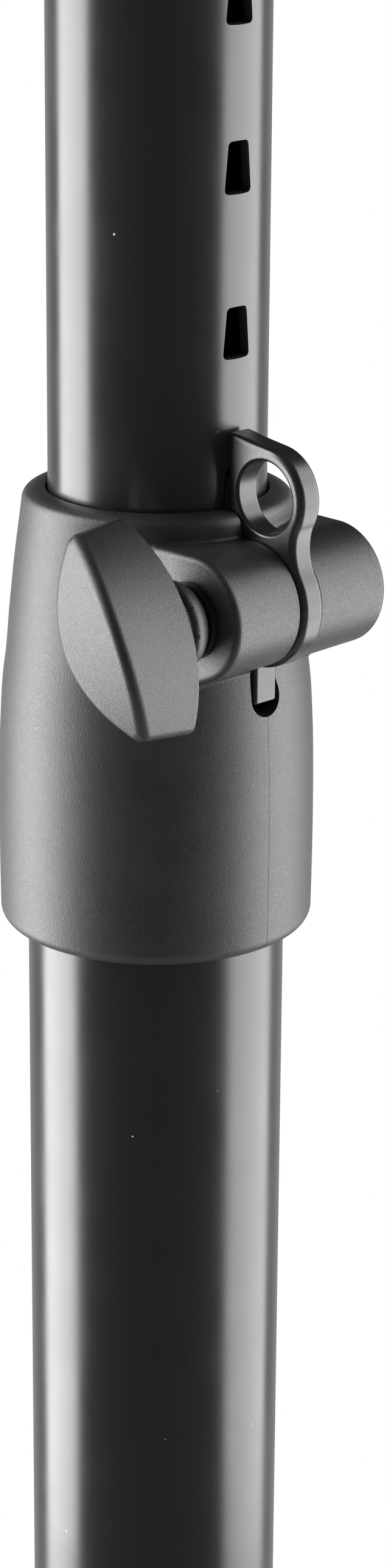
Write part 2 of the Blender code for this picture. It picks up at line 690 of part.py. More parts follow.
def circle_meet(first, first_radius, second, second_radius):
    """The meeting point of two circles that lies furthest forward."""
    a, b = Vector(first), Vector(second)
    apart = (b - a).length
    along = (apart * apart + first_radius ** 2 - second_radius ** 2) / (2.0 * apart)
    aside = math.sqrt(max(first_radius ** 2 - along ** 2, 0.0))
    line = (b - a) / apart
    across = Vector((-line.y, line.x))
    return max((a + line * along + across * aside, a + line * along - across * aside), key=lambda p: p.x)


def angle_at(centre, point):
    return math.atan2(point[1] - centre[1], point[0] - centre[0])


def latch_outline():
    """Side view of the latch: hook, finger lobe, waist, pivot ring and tail."""
    lobe = (LATCH_LOBE_FORWARD, LATCH_LOBE_UP)
    ring_centre = (0.0, 0.0)
    waist = circle_meet(lobe, LATCH_LOBE_RADIUS + LATCH_WAIST_ROUND, ring_centre,
                        LATCH_RING_RADIUS + LATCH_WAIST_ROUND)
    back = -(PIVOT_STANDOFF - GAP)
    tip = Vector((back, LATCH_TIP_UP))
    to_lobe = Vector(lobe) - tip
    lean = math.asin(LATCH_LOBE_RADIUS / to_lobe.length)
    top_angle = math.atan2(to_lobe.y, to_lobe.x) + lean + math.pi / 2.0
    waist_top = angle_at(lobe, waist)
    waist_low = angle_at(ring_centre, waist)
    from_lobe = angle_at(waist, lobe)
    from_ring = angle_at(waist, ring_centre) + 2.0 * math.pi
    points = [(tip.x, tip.y)]
    points += arc(lobe, LATCH_LOBE_RADIUS, top_angle, waist_top, ARC_STEPS)
    points += arc(waist, LATCH_WAIST_ROUND, from_lobe, from_ring, WAIST_STEPS)[1:-1]
    tail_front = math.acos(LATCH_TAIL_FORWARD / LATCH_RING_RADIUS)
    points += arc(ring_centre, LATCH_RING_RADIUS, waist_low, -tail_front, ARC_STEPS)
    tail_back = back + LATCH_TAIL_DROP * math.tan(math.radians(LATCH_TAIL_SLOPE))
    corner = LATCH_CORNER
    points += [(LATCH_TAIL_FORWARD, -LATCH_TAIL_DROP + corner),
               (LATCH_TAIL_FORWARD - corner, -LATCH_TAIL_DROP),
               (tail_back, -LATCH_TAIL_DROP), (back, 0.0)]
    hook_back = -(PIVOT_STANDOFF + INNER_WALL + LATCH_HOOK_DEPTH)
    hook_low = LATCH_HOOK_TOP - LATCH_HOOK_HEIGHT
    points += [(back, hook_low), (hook_back, hook_low), (hook_back, LATCH_HOOK_TOP - LATCH_HOOK_SLOPE),
               (back, LATCH_HOOK_TOP)]
    return points


def tang_place(swing):
    """World Y and Z of the spring's free tang, at a share of the latch's swing."""
    turn = math.radians(swing)
    return PIVOT_Y - SPRING_RADIUS * math.sin(turn), PIVOT_Z + SPRING_RADIUS * math.cos(turn)


def make_latch():
    pivot = (0.0, PIVOT_Y, PIVOT_Z)
    lobe = (LATCH_LOBE_FORWARD, LATCH_LOBE_UP)
    hole = forward(arc(lobe, LATCH_HOLE_RADIUS, 0.0, 2.0 * math.pi, HOLE_STEPS)[:-1])
    latch = plate("latch", [forward(latch_outline()), hole], LATCH_THICKNESS, LATCH_BLACK, ALONG_X, pivot)
    bevel(latch, LATCH_EDGE, 1, 50.0)
    back = -(PIVOT_STANDOFF - GAP)
    lean = math.radians(LATCH_TAIL_SLOPE)
    top = math.acos(max(back / LATCH_BOSS_RADIUS, -1.0))
    low = -math.pi + lean + math.acos(max(min(-back * math.cos(lean) / LATCH_BOSS_RADIUS, 1.0), -1.0))
    boss_points = arc((0.0, 0.0), LATCH_BOSS_RADIUS, top, low, BOSS_STEPS)
    boss = plate("latch_boss", [forward(boss_points)], LATCH_BOSS_THICKNESS, None, ALONG_X, pivot)
    fuse(latch, boss)
    bore = turned("latch_bore", rod(STUD_HOLE, -CLEAR_OF_ALL, CLEAR_OF_ALL), None, SMALL_FACETS,
                  AXIS_X, pivot)
    floor = spring_start() - SPRING_WIRE - GAP
    well = turned("spring_well", rod(SPRING_RADIUS + SPRING_WIRE + GAP * 2.0, floor, CLEAR_OF_ALL), None,
                  ROUND_FACETS, AXIS_X, pivot)
    tang = turned("latch_tang_hole", rod(SPRING_WIRE + GAP, -CLEAR_OF_ALL, floor + GAP), None, SMALL_FACETS,
                  AXIS_X, (0.0, *tang_place(0.0)))
    cut(latch, bore, well, tang)
    return latch


def spring_start():
    """X of the spring's first turn, so that its last turn clears the ear."""
    return SLIT_HALF - 2.0 * GAP - SPRING_WIRE - SPRING_TURNS * SPRING_PITCH


def make_spring():
    """Torsion spring about the clamp axis, with a tang at each end along X."""
    first = spring_start()
    last = first + SPRING_TURNS * SPRING_PITCH
    steps = SPRING_TURNS * COIL_STEPS
    points = [(first - SPRING_TANG, 0.0), (first - SPRING_BEND, 0.0)]
    points += [(first + (last - first) * step / steps, 360.0 * SPRING_TURNS * step / steps)
               for step in range(steps + 1)]
    points += [(last + SPRING_BEND, 0.0), (last + SPRING_TANG, 0.0)]
    curve = bpy.data.curves.new("latch_spring", "CURVE")
    curve.dimensions = "3D"
    curve.bevel_depth = SPRING_WIRE
    curve.bevel_resolution = 1
    curve.use_fill_caps = True
    spline = curve.splines.new("POLY")
    spline.points.add(len(points) - 1)
    for point, (x, turn) in zip(spline.points, points):
        y, z = tang_place(turn)
        point.co = (x, y - PIVOT_Y, z - PIVOT_Z, 1.0)
    curve.materials.append(SPRING_STEEL)
    spring = bpy.data.objects.new("latch_spring", curve)
    spring.location = (0.0, PIVOT_Y, PIVOT_Z)
    PARTS.objects.link(spring)
    return spring


def make_inner_tube():
    wall = ring(INNER_RADIUS, INNER_BORE, INNER_BOTTOM, INNER_TOP)
    tube = turned("inner_tube", wall, TUBE_BLACK, TUBE_FACETS)
    slot_z = PIVOT_Z + LATCH_HOOK_TOP - LATCH_HOOK_HEIGHT / 2.0
    top, low, tall = SLOT_TOP_WIDTH / 2.0, SLOT_BOTTOM_WIDTH / 2.0, SLOT_HEIGHT / 2.0
    outline = rounded([(top, tall, SLOT_CORNER), (-top, tall, SLOT_CORNER), (-low, -tall, SLOT_CORNER),
                       (low, -tall, SLOT_CORNER)], SLOT_CORNER_STEPS)
    upright = (math.pi / 2.0, 0.0, 0.0)
    pattern = plate("slot_pattern", [outline], INNER_RADIUS, None, upright)
    shape = bmesh.new()
    for step in range(-SLOTS_BELOW, SLOTS_ABOVE + 1):
        single = pattern.data.copy()
        place = Matrix.Translation((0.0, -INNER_RADIUS, slot_z + step * SLOT_PITCH))
        single.transform(place @ Matrix.Rotation(math.pi / 2.0, 4, "X"))
        shape.from_mesh(single)
        bpy.data.meshes.remove(single)
    slots = bpy.data.meshes.new("slots")
    shape.to_mesh(slots)
    shape.free()
    cut(tube, add("slots", slots))
    pin_z = INNER_BOTTOM + GLIDE_PIN_UP
    cut(tube, turned("glide_pin_hole", rod(GLIDE_PIN_RADIUS + GAP, -CLEAR_OF_ALL, CLEAR_OF_ALL), None,
                     SCREW_FACETS, AXIS_X, (0.0, 0.0, pin_z)))
    screw_z = INNER_TOP - SOCKET_SCREW_DROP
    cut(tube, turned("socket_screw_hole", rod(SOCKET_SCREW_RADIUS + GAP, -CLEAR_OF_ALL, CLEAR_OF_ALL), None,
                     SCREW_FACETS, AXIS_X, (0.0, 0.0, screw_z)))
    return tube


def make_glide():
    sleeve = INNER_BORE - GAP
    bore = sleeve - GLIDE_WALL
    flange_top = INNER_BOTTOM - GAP
    low = flange_top - GLIDE_FLANGE
    flange = OUTER_BORE - RUNNING_GAP
    sleeve_top = flange_top + GLIDE_SLEEVE
    profile = [(sleeve, sleeve_top), (sleeve, flange_top), (flange, flange_top), (flange, low),
               (bore, low), (bore, sleeve_top)]
    glide = turned("lower_glide", profile, SLIDE_PLASTIC, ROUND_FACETS)
    pin_at = (0.0, 0.0, INNER_BOTTOM + GLIDE_PIN_UP)
    pin_bore = rod(GLIDE_PIN_RADIUS + GAP, -CLEAR_OF_ALL, CLEAR_OF_ALL)
    cut(glide, turned("glide_bore", pin_bore, None, SCREW_FACETS, AXIS_X, pin_at))
    half = INNER_RADIUS - GAP
    pin = turned("glide_pin", rod(GLIDE_PIN_RADIUS, -half, half), ZINC, SCREW_FACETS, AXIS_X, pin_at)
    return glide, pin


def plate_screw_places():
    turns = [math.radians(45.0 + 90.0 * i) for i in range(4)]
    return [(PLATE_SCREW_CIRCLE * math.cos(t), PLATE_SCREW_CIRCLE * math.sin(t)) for t in turns]


def make_head():
    spigot = INNER_BORE - GAP
    bore = spigot - SPIGOT_WALL
    flange_top = FLANGE_Z + FLANGE_THICKNESS
    profile = [(FLANGE_RADIUS, flange_top), (FLANGE_RADIUS, FLANGE_Z), (spigot, FLANGE_Z),
               (spigot, INNER_TOP - SPIGOT_LENGTH), (bore, INNER_TOP - SPIGOT_LENGTH), (bore, flange_top)]
    socket = turned("top_socket", profile, STEEL_BLACK, TRIM_FACETS)
    screw_z = INNER_TOP - SOCKET_SCREW_DROP
    cut(socket, turned("socket_bore", rod(SOCKET_SCREW_RADIUS + GAP, -INNER_RADIUS, INNER_RADIUS), None,
                       SCREW_FACETS, AXIS_X, (0.0, 0.0, screw_z)))
    seat = INNER_RADIUS + GAP
    screw_profile = [(0.0, seat + SOCKET_SCREW_HEAD_HEIGHT),
                     (SOCKET_SCREW_HEAD_RADIUS * DOME_FLAT, seat + SOCKET_SCREW_HEAD_HEIGHT),
                     (SOCKET_SCREW_HEAD_RADIUS, seat + SOCKET_SCREW_HEAD_HEIGHT * DOME_RIM),
                     (SOCKET_SCREW_HEAD_RADIUS, seat), (SOCKET_SCREW_RADIUS, seat),
                     (SOCKET_SCREW_RADIUS, seat - SOCKET_SCREW_LENGTH), (0.0, seat - SOCKET_SCREW_LENGTH)]
    screws = []
    for i, side in enumerate((1.0, -1.0), 1):
        turn = (0.0, side * math.pi / 2.0, 0.0)
        screws.append(turned("socket_screw_%d" % i, screw_profile, BLACK_SCREW, SCREW_FACETS, turn,
                             (0.0, 0.0, screw_z)))

    top = plate("top_plate", [box_outline(TOP_WIDTH, TOP_DEPTH, TOP_CORNER)], TOP_THICKNESS, STEEL_BLACK,
                at=(0.0, 0.0, TOP_PLATE_Z + TOP_THICKNESS / 2.0))
    bevel(top, TOP_EDGE_ROUND)
    hole_low = FLANGE_Z - GAP
    hole_high = TOP_PLATE_Z + TOP_THICKNESS - GAP
    for i, (x, y) in enumerate(plate_screw_places()):
        hole = turned("plate_screw_hole_%d" % i, rod(PLATE_SCREW_RADIUS + GAP, hole_low, hole_high), None,
                      SCREW_FACETS, at=(x, y, 0.0))
        cut(socket, hole)
        cut(top, hole)
    seat = FLANGE_Z - GAP
    tip = hole_high - GAP
    screw_profile = [(0.0, tip), (PLATE_SCREW_RADIUS, tip), (PLATE_SCREW_RADIUS, seat),
                     (PLATE_SCREW_HEAD_RADIUS, seat),
                     (PLATE_SCREW_HEAD_RADIUS, seat - PLATE_SCREW_HEAD_HEIGHT * DOME_RIM),
                     (PLATE_SCREW_HEAD_RADIUS * DOME_FLAT, seat - PLATE_SCREW_HEAD_HEIGHT),
                     (0.0, seat - PLATE_SCREW_HEAD_HEIGHT)]
    for i, (x, y) in enumerate(plate_screw_places(), 1):
        screws.append(turned("plate_screw_%d" % i, screw_profile, BLACK_SCREW, SCREW_FACETS, at=(x, y, 0.0)))

    mat_outline = box_outline(TOP_WIDTH - 2.0 * MAT_INSET, TOP_DEPTH - 2.0 * MAT_INSET,
                              max(TOP_CORNER - MAT_INSET, GAP))
    mat = plate("top_mat", [mat_outline], MAT_THICKNESS, MAT_RUBBER,
                at=(0.0, 0.0, MAT_Z + MAT_THICKNESS / 2.0))
    bevel(mat, MAT_EDGE, 1)
    return (socket, top, mat, *screws)


make_base()
make_feet()
make_column_fixing()
make_outer_tube()
make_collar()
make_bush()
make_insert()

height = joint_empty("height_slide_axis", (0.0, 0.0, INNER_BOTTOM))
hang(height, make_inner_tube(), *make_glide(), *make_head())

clamp_axis = joint_empty("clamp_screw_axis", (0.0, PIVOT_Y, PIVOT_Z))
hang(clamp_axis, *make_wing_screw())

latch_axis = joint_empty("latch_axis", (0.0, PIVOT_Y, PIVOT_Z))
hang(latch_axis, make_latch(), make_spring())
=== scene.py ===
"""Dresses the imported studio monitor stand: finer pieces, finishes, a pale studio and the camera.

The file is laid out as an add-on with one operator for each group of pieces, and is run as a script.
Metres, +Z up, origin on the floor on the axis of the column.
"""
import math

import bmesh
import bpy
import numpy as np
from mathutils import Matrix, Vector


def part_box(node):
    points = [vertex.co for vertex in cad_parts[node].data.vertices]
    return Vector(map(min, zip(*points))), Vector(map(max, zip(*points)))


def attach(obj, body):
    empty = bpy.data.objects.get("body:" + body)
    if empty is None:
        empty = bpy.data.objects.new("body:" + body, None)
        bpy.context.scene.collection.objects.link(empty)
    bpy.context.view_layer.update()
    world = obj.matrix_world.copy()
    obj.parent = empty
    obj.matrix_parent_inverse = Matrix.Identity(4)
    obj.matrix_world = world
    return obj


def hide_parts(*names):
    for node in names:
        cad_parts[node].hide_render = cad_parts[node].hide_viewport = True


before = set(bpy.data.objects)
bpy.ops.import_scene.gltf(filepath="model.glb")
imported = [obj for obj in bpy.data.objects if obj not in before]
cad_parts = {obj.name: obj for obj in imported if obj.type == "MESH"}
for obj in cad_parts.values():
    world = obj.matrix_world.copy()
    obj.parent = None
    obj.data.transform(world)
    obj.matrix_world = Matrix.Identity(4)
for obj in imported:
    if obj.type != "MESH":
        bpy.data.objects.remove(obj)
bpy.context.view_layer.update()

bl_info = {
    "name": "Studio monitor stand",
    "version": (1, 0, 0),
    "blender": (4, 5, 0),
    "location": "3D View > Sidebar > Stand",
    "description": "Builds the visible pieces of a height adjustable monitor stand around its packed frame",
    "category": "Add Mesh",
}

# Sizes read from the frame
COLLAR_LOW, COLLAR_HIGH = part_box("clamp_collar")
OUTER_LOW, OUTER_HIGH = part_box("outer_tube")
INNER_LOW, INNER_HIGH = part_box("inner_tube")
WASHER_LOW, WASHER_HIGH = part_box("thrust_washer")
RIM_Z = COLLAR_HIGH.z
COLLAR_FLOOR = COLLAR_LOW.z
OUTER_RADIUS = OUTER_HIGH.x
INNER_RADIUS = INNER_HIGH.x
PIVOT = (WASHER_LOW + WASHER_HIGH) / 2.0
PIVOT_Y = PIVOT.y
PIVOT_Z = PIVOT.z
PIVOT_AT_ZERO = (0.0, PIVOT_Y, PIVOT_Z)
WASHER_RADIUS = WASHER_HIGH.z - PIVOT_Z

# Clearances, and the distances below which points count as one
GAP = 0.0003
HAIR = 0.00001
DOUBLE = HAIR / 10.0
MEND_REACH = 0.000001
MEND_ROUNDS = 2

# Lengths of cutters that only have to pass through
CUT_SHORT = 0.01
CUT_LONG = 0.04

# Facets of the round pieces
TUBE_FACETS = 256
TRIM_FACETS = 192
ROUND_FACETS = 96
SCREW_FACETS = 48
SOFT_STEPS = 5

# Base
FOOT_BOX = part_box("base_foot_1")
BASE_PLATE_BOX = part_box("base_plate")
BASE_CORNER = 0.045
BASE_EDGE = 0.0015
FOOT_EDGE = 0.0020
FOOT_RECESS_RADIUS = 0.0075
FOOT_RECESS_DEPTH = 0.0065
FOOT_GROOVE = 0.0004
FOOT_GROOVE_HEIGHTS = (0.0088, 0.0068, 0.0048)
FOOT_SCREW_RADIUS = 0.0030
FOOT_SCREW_HEAD = (0.0060, 0.0033)
FOOT_SCREW_CROSS = 0.0062
FOOT_SCREW_BITE = 0.0060
BOLT_RADIUS = 0.0060
BOLT_FLATS = 0.0177
BOLT_HEAD_HEIGHT = 0.0065
BOLT_CHAMFER = 0.001
BOLT_FACE = 0.95
TRIM_LIP = 0.0030
TRIM_STEPS = 14
TRIM_SWEEP_START = 0.06
TRIM_EDGE = 0.0004

# Head
FLANGE_RADIUS = 0.055
FLANGE_THICKNESS = 0.005
SPIGOT_WALL = 0.0060
SOCKET_SCREW_RADIUS = 0.0025
SOCKET_SCREW_HEAD = (0.0045, 0.0026)
SOCKET_SCREW_KEY = 0.0030
SOCKET_SCREW_LENGTH = 0.0070
PLATE_SCREW_RADIUS = 0.0030
PLATE_SCREW_HEAD = (0.0055, 0.0033)
PLATE_SCREW_KEY = 0.0040
PLATE_SCREW_CIRCLE = 0.040
TOP_CORNER = 0.022
TOP_EDGE = 0.0010
MAT_INSET = 0.006
MAT_EDGE = 0.0007
MAT_CHANNEL = 0.0004
MAT_CHANNEL_OUTER = 0.0070
MAT_CHANNEL_INNER = 0.0085

# Tubes
TUBE_WALL = 0.0020
TUBE_EDGE = 0.0004
SLOT_PITCH = 0.030
SLOTS_ABOVE = 8
SLOTS_BELOW = 4
SLOT_TOP_WIDTH = 0.0048
SLOT_BOTTOM_WIDTH = 0.0067
SLOT_HEIGHT = 0.0092
SLOT_CORNER = 0.0008
SLOT_EDGE_DEPTH = 0.0004
SLOT_EDGE_SPREAD = 1.2
HOLE_FACETS = 45
SLOT_UP = 0.0187
SIDE_HOLE_RADIUS = 0.0028
SIDE_HOLE_DROP = 0.015
GLIDE_HOLE_RADIUS = 0.0023
GLIDE_HOLE_UP = 0.012
GLIDE_PIN_RADIUS = 0.0020

# Clamp collar: its outer radius at depths below the rim
COLLAR_CURVE = ((0.0, 0.0253), (0.0017, 0.02555), (0.0050, 0.02595), (0.0098, 0.0266),
                (0.0146, 0.0272), (0.0194, 0.0277), (0.0243, 0.0282), (0.0280, 0.0285),
                (0.0303, 0.0287), (0.0327, 0.02895), (0.0351, 0.02928), (0.0387, 0.02966),
                (0.0434, 0.02995), (0.0481, 0.03018), (0.0555, 0.03036), (0.0630, 0.03045),
                (0.0725, 0.03045), (0.0800, 0.03038), (0.0862, 0.0303))
RIM_FLAT_RADIUS = 0.0219
RIM_FALL = 0.0012
RIM_CURVE = 2.2
RIM_EDGE = 0.0006
COLLAR_FOOT_ROUND = 0.0026
LIP_BORE = 0.0211
LIP_DEPTH = 0.0030
LIP_EDGE = 0.0003
BUSH_BORE = 0.0229
SLEEVE_BORE = 0.0253
SLEEVE_TOP_UP = 0.0461
SLIT_END_RADIUS = 0.0037
SLIT_DEPTH = 0.0391
SLIT_LEFT = -0.0033
SLIT_RIGHT = 0.00265
SLIT_SHOULDER = 0.0050
SLIT_REACH = 0.06
SLIT_STEPS = 12
SEAM_HALF = 0.00016

# Ears of the collar
EAR_RADIUS = 0.0117
EAR_LEFT = -0.0195
EAR_RIGHT = 0.0202
EAR_UNDERSIDE_ANGLE = 25.0
EAR_EDGE = 0.0014
EAR_FILLET = 0.0007
EAR_ROOT = 0.0142
STUD_HOLE = 0.0042
STUD_HOLE_END = 0.0170
INSERT_POCKET_FLATS = 0.0118
INSERT_FLATS = 0.01126
INSERT_START = 0.0080
INSERT_LENGTH = 0.0090
SCREW_UP = 0.020
SCREW_RECESS_RADIUS = 0.0043
SCREW_SEAT = 0.0277
COLLAR_SCREW_RADIUS = 0.0020
COLLAR_SCREW_HEAD = (0.0040, 0.0024)
COLLAR_SCREW_KEY = 0.0030
COLLAR_SCREW_LENGTH = 0.0050

# Wing knob
HUB_END = -0.0215
HUB_RADIUS = 0.0087
HUB_ROOT_RADIUS = 0.0071
HUB_SWELL = 0.0015
HUB_EDGE = 0.0040
HUB_FILLET = 0.0006
WING_INNER = -0.0285
WING_OUTER = -0.0408
WING_CROWN = 0.0040
WING_HOLLOW = 0.0015
WING_HALF_LENGTH = 0.0205
WING_HALF_THICKNESS = 0.0080
WING_TIP_HALF = 0.0012
WING_DRAFT = 0.0012
WING_RAISE = 0.0008
WING_RIDGE = 0.0017
WING_BACK_EDGE = 0.0005
WING_TIP_EDGE = 0.0008
WING_TILT = 27.8
KNOB_BORE_LOW = -0.0415
STUD_RADIUS = 0.0039
STUD_REACH = 0.0140
STUD_HEAD_FLATS = 0.00935
STUD_HEAD_HIGH = -0.0370
STUD_HEAD_LENGTH = 0.0045
STUD_TIP_EDGE = 0.0006
WASHER_EDGE = 0.0002
HEX_EDGE = 0.0003

# Latch, measured from its pivot: forward is -Y
LATCH_STANDOFF = 0.0073
LATCH_LEFT = -0.00285
LATCH_RIGHT = 0.0025
LATCH_EDGE_LEFT = 0.0013
LATCH_EDGE_RIGHT = 0.00115
LATCH_EDGE_TAIL_LEFT = 0.0006
LATCH_EDGE_TAIL_RIGHT = 0.00025
LATCH_EDGE_BACK = 0.0070
LATCH_EDGE_RUN = 0.0050
LATCH_TAIL_START = 0.0130
LATCH_TAIL_RUN = 0.0025
LATCH_DRAW_REACH = 0.0012
LATCH_HOLE_EDGE = 0.0007
LATCH_RING_RADIUS = 0.0124
LATCH_LOBE_RADIUS = 0.0094
LATCH_LOBE_FORWARD = 0.0018
LATCH_LOBE_UP = 0.0201
LATCH_WAIST_ROUND = 0.0095
LATCH_HOLE_RADIUS = 0.0068
LATCH_TIP_UP = 0.0308
LATCH_HOOK_TOP = 0.0226
LATCH_HOOK_HEIGHT = 0.0078
LATCH_HOOK_BACK = 0.0109
LATCH_HOOK_ROOT = 0.0012
LATCH_HOOK_SLOPE = 0.0012
LATCH_HOOK_HALF = 0.0021
LATCH_HOOK_FLARE = 0.0008
LATCH_HOOK_EDGE = 0.0006
LATCH_TAIL_DROP = 0.0200
LATCH_TAIL_FORWARD = 0.0003
LATCH_TAIL_SLOPE = 13.0
LATCH_CORNER = 0.0007
SPRING_RADIUS = 0.0060
SPRING_WIRE = 0.0004
SPRING_TURNS = 2
SPRING_PITCH = 0.0011
SPRING_START = -0.0001
SPRING_TANG = 0.0022
SPRING_BEND = 0.0006
SPRING_POCKET_RADIUS = 0.0015
SPRING_POCKET_END = 0.0057
SPRING_MIDDLE_TURN = 6.0
COIL_STEPS = 48
TANG_HOLE_MIDDLE = -0.009

# Low domed screw heads, mostly as shares of the head's radius or height
HEAD_DOME = 1.7
HEAD_FLAT = 0.93
HEAD_RIM = 0.985
HEAD_STEPS = 8
RECESS_DEPTH = 0.62
CROSS_WIDTH = 0.28
SHANK_TIP = 0.0004

# Slides
BUSH_FLANGE = 0.0020
BUSH_SPLIT = 0.0076
GLIDE_WALL = 0.0040

# Photograph: size in pixels, and the camera fitted to the object's edges
PHOTO_HEIGHT = 2576
SENSOR = 36.0
FOCAL_PIXELS = 5869.1
CAMERA_PLACE = (-0.456947, -0.469561, 0.8931)
CAMERA_AZIMUTH = 45.1495
CAMERA_DOWN = 19.082
CAMERA_ROLL = 0.3935

# Turns of a piece drawn about Z, so that its axis lies along X or Y
AXIS_X = (0.0, math.pi / 2.0, 0.0)
AXIS_Y = (-math.pi / 2.0, 0.0, 0.0)
UPRIGHT = (0.0, 0.0, 0.0)
UPSIDE_DOWN = (math.pi, 0.0, 0.0)
# Turns a flat outline's x, y and thickness to world Y, Z and X
ALONG_X = (math.pi / 2.0, 0.0, math.pi / 2.0)
# Turns a flat outline's x, y and thickness to world X, Z and Y
FACING_FRONT = (math.pi / 2.0, 0.0, 0.0)


def colour_property(name, description, default):
    return bpy.props.FloatVectorProperty(name=name, description=description, default=default, size=3,
                                         min=0.0, max=1.0, subtype="COLOR")


def length_property(name, description, default):
    return bpy.props.FloatProperty(name=name, description=description, default=default, min=0.0,
                                   unit="LENGTH", precision=5)


class StandColours(bpy.types.PropertyGroup):
    """Colours of the stand's finishes."""
    tube_paint: colour_property("Tube paint", "Satin black of both tubes", (0.0145, 0.0145, 0.0149))
    powder_coat: colour_property("Powder coat", "Textured black of the plates", (0.020, 0.020, 0.021))
    moulding: colour_property("Moulding", "Dark grey of the grained plastic", (0.016, 0.0164, 0.0171))
    latch_coat: colour_property("Latch coating", "Satin black of the latch", (0.016, 0.016, 0.0165))
    slide_plastic: colour_property("Slide plastic", "Smooth plastic of bush and glide",
                                   (0.050, 0.050, 0.052))
    rubber: colour_property("Rubber", "Feet and mat", (0.020, 0.020, 0.0205))
    zinc: colour_property("Zinc", "Plated screws and washers", (0.55, 0.56, 0.57))
    black_oxide: colour_property("Black oxide", "Dark screws", (0.030, 0.030, 0.032))
    brass: colour_property("Brass", "Threaded insert", (0.70, 0.55, 0.28))
    spring_steel: colour_property("Spring steel", "Wire of the latch spring", (0.50, 0.50, 0.50))
    dust: colour_property("Dust", "Pale specks that lie on the paint", (0.55, 0.55, 0.53))
    floor: colour_property("Floor", "Pale studio floor", (0.80, 0.80, 0.80))


class StandSizes(bpy.types.PropertyGroup):
    """Sizes that change how the stand's surfaces look."""
    grain: length_property("Grain", "Spacing of the spark eroded grain on the mouldings", 0.00017)
    grain_depth: length_property("Grain depth", "Height of that grain", 0.00006)
    texture: length_property("Texture", "Spacing of the bumps in the powder coat", 0.0009)
    texture_depth: length_property("Texture depth", "Height of those bumps", 0.00006)
    dust_spacing: length_property("Dust spacing", "Mean distance of the dust specks", 0.006)
    collar_voxel: length_property("Collar mesh", "Size of the collar's faces", 0.00045)
    knob_voxel: length_property("Knob mesh", "Size of the knob's faces", 0.0004)
    latch_voxel: length_property("Latch mesh", "Size of the latch's faces", 0.00028)


def colours():
    return bpy.context.scene.stand_colours


def sizes():
    return bpy.context.scene.stand_sizes


# Shader building


def socket(group, name, way, kind, default=None):
    made = group.interface.new_socket(name, in_out=way, socket_type=kind)
    if default is not None:
        made.default_value = default
    return made


def new_group(name, inputs, outputs):
    group = bpy.data.node_groups.new(name, "ShaderNodeTree")
    for label, default in inputs:
        kind = "NodeSocketColor" if isinstance(default, tuple) else "NodeSocketFloat"
        socket(group, label, "INPUT", kind, default)
    for label, kind in outputs:
        socket(group, label, "OUTPUT", kind)
    entry = group.nodes.new("NodeGroupInput")
    leave = group.nodes.new("NodeGroupOutput")
    return group, entry, leave


def math_node(tree, operation, first, second=None, clamp=False):
    node = tree.nodes.new("ShaderNodeMath")
    node.operation = operation
    node.use_clamp = clamp
    for place, value in enumerate((first, second)):
        if value is None:
            continue
        if isinstance(value, (int, float)):
            node.inputs[place].default_value = value
        else:
            tree.links.new(value, node.inputs[place])
    return node.outputs[0]


def ramp(tree, value, low, high, low_out=0.0, high_out=1.0):
    """Smooth step of a value from low to high."""
    node = tree.nodes.new("ShaderNodeMapRange")
    node.interpolation_type = "SMOOTHSTEP"
    node.inputs["From Min"].default_value = low
    node.inputs["From Max"].default_value = high
    node.inputs["To Min"].default_value = low_out
    node.inputs["To Max"].default_value = high_out
    tree.links.new(value, node.inputs["Value"])
    return node.outputs["Result"]


def place_on_piece(tree):
    node = tree.nodes.new("ShaderNodeTexCoord")
    return node.outputs["Object"]


def noise(tree, place, scale, detail=2.0, roughness=0.5):
    node = tree.nodes.new("ShaderNodeTexNoise")
    node.inputs["Detail"].default_value = detail
    node.inputs["Roughness"].default_value = roughness
    tree.links.new(place, node.inputs["Vector"])
    if isinstance(scale, float):
        node.inputs["Scale"].default_value = scale
    else:
        tree.links.new(scale, node.inputs["Scale"])
    return node.outputs["Fac"]


def grain_and_glint_group():
    """Fine matte grain of a moulding: a height for bump, and a mask of its tops, on which the moulding
    paints glints.
    """
    group, entry, leave = new_group("moulding_grain_and_glints", (("Spacing", 0.0004), ("Unevenness", 0.5)),
                                    (("Height", "NodeSocketFloat"), ("Painted_glints", "NodeSocketFloat")))
    place = place_on_piece(group)
    scale = math_node(group, "DIVIDE", 1.0, entry.outputs["Spacing"])
    fine = noise(group, place, scale, 1.5, 0.45)
    coarse_scale = math_node(group, "MULTIPLY", scale, 0.37)
    coarse = noise(group, place, coarse_scale, 1.0)
    coarse_part = math_node(group, "MULTIPLY", coarse, entry.outputs["Unevenness"])
    height = math_node(group, "ADD", fine, coarse_part)
    group.links.new(height, leave.inputs["Height"])
    group.links.new(ramp(group, fine, 0.56, 0.72), leave.inputs["Painted_glints"])
    return group


def dust_group():
    """Small separate specks: a mask that is one on each speck."""
    group, entry, leave = new_group("dust_specks", (("Spacing", 0.006), ("Size", 0.05)),
                                    (("Mask", "NodeSocketFloat"),))
    place = place_on_piece(group)
    scale = math_node(group, "DIVIDE", 1.0, entry.outputs["Spacing"])
    cells = group.nodes.new("ShaderNodeTexVoronoi")
    cells.feature = "F1"
    group.links.new(place, cells.inputs["Vector"])
    group.links.new(scale, cells.inputs["Scale"])
    split = group.nodes.new("ShaderNodeSeparateColor")
    group.links.new(cells.outputs["Color"], split.inputs["Color"])
    own_size = math_node(group, "MULTIPLY", split.outputs[0], entry.outputs["Size"])
    near = math_node(group, "LESS_THAN", cells.outputs["Distance"], own_size)
    kept = math_node(group, "GREATER_THAN", split.outputs[1], 0.45)
    group.links.new(math_node(group, "MULTIPLY", near, kept), leave.inputs["Mask"])
    return group


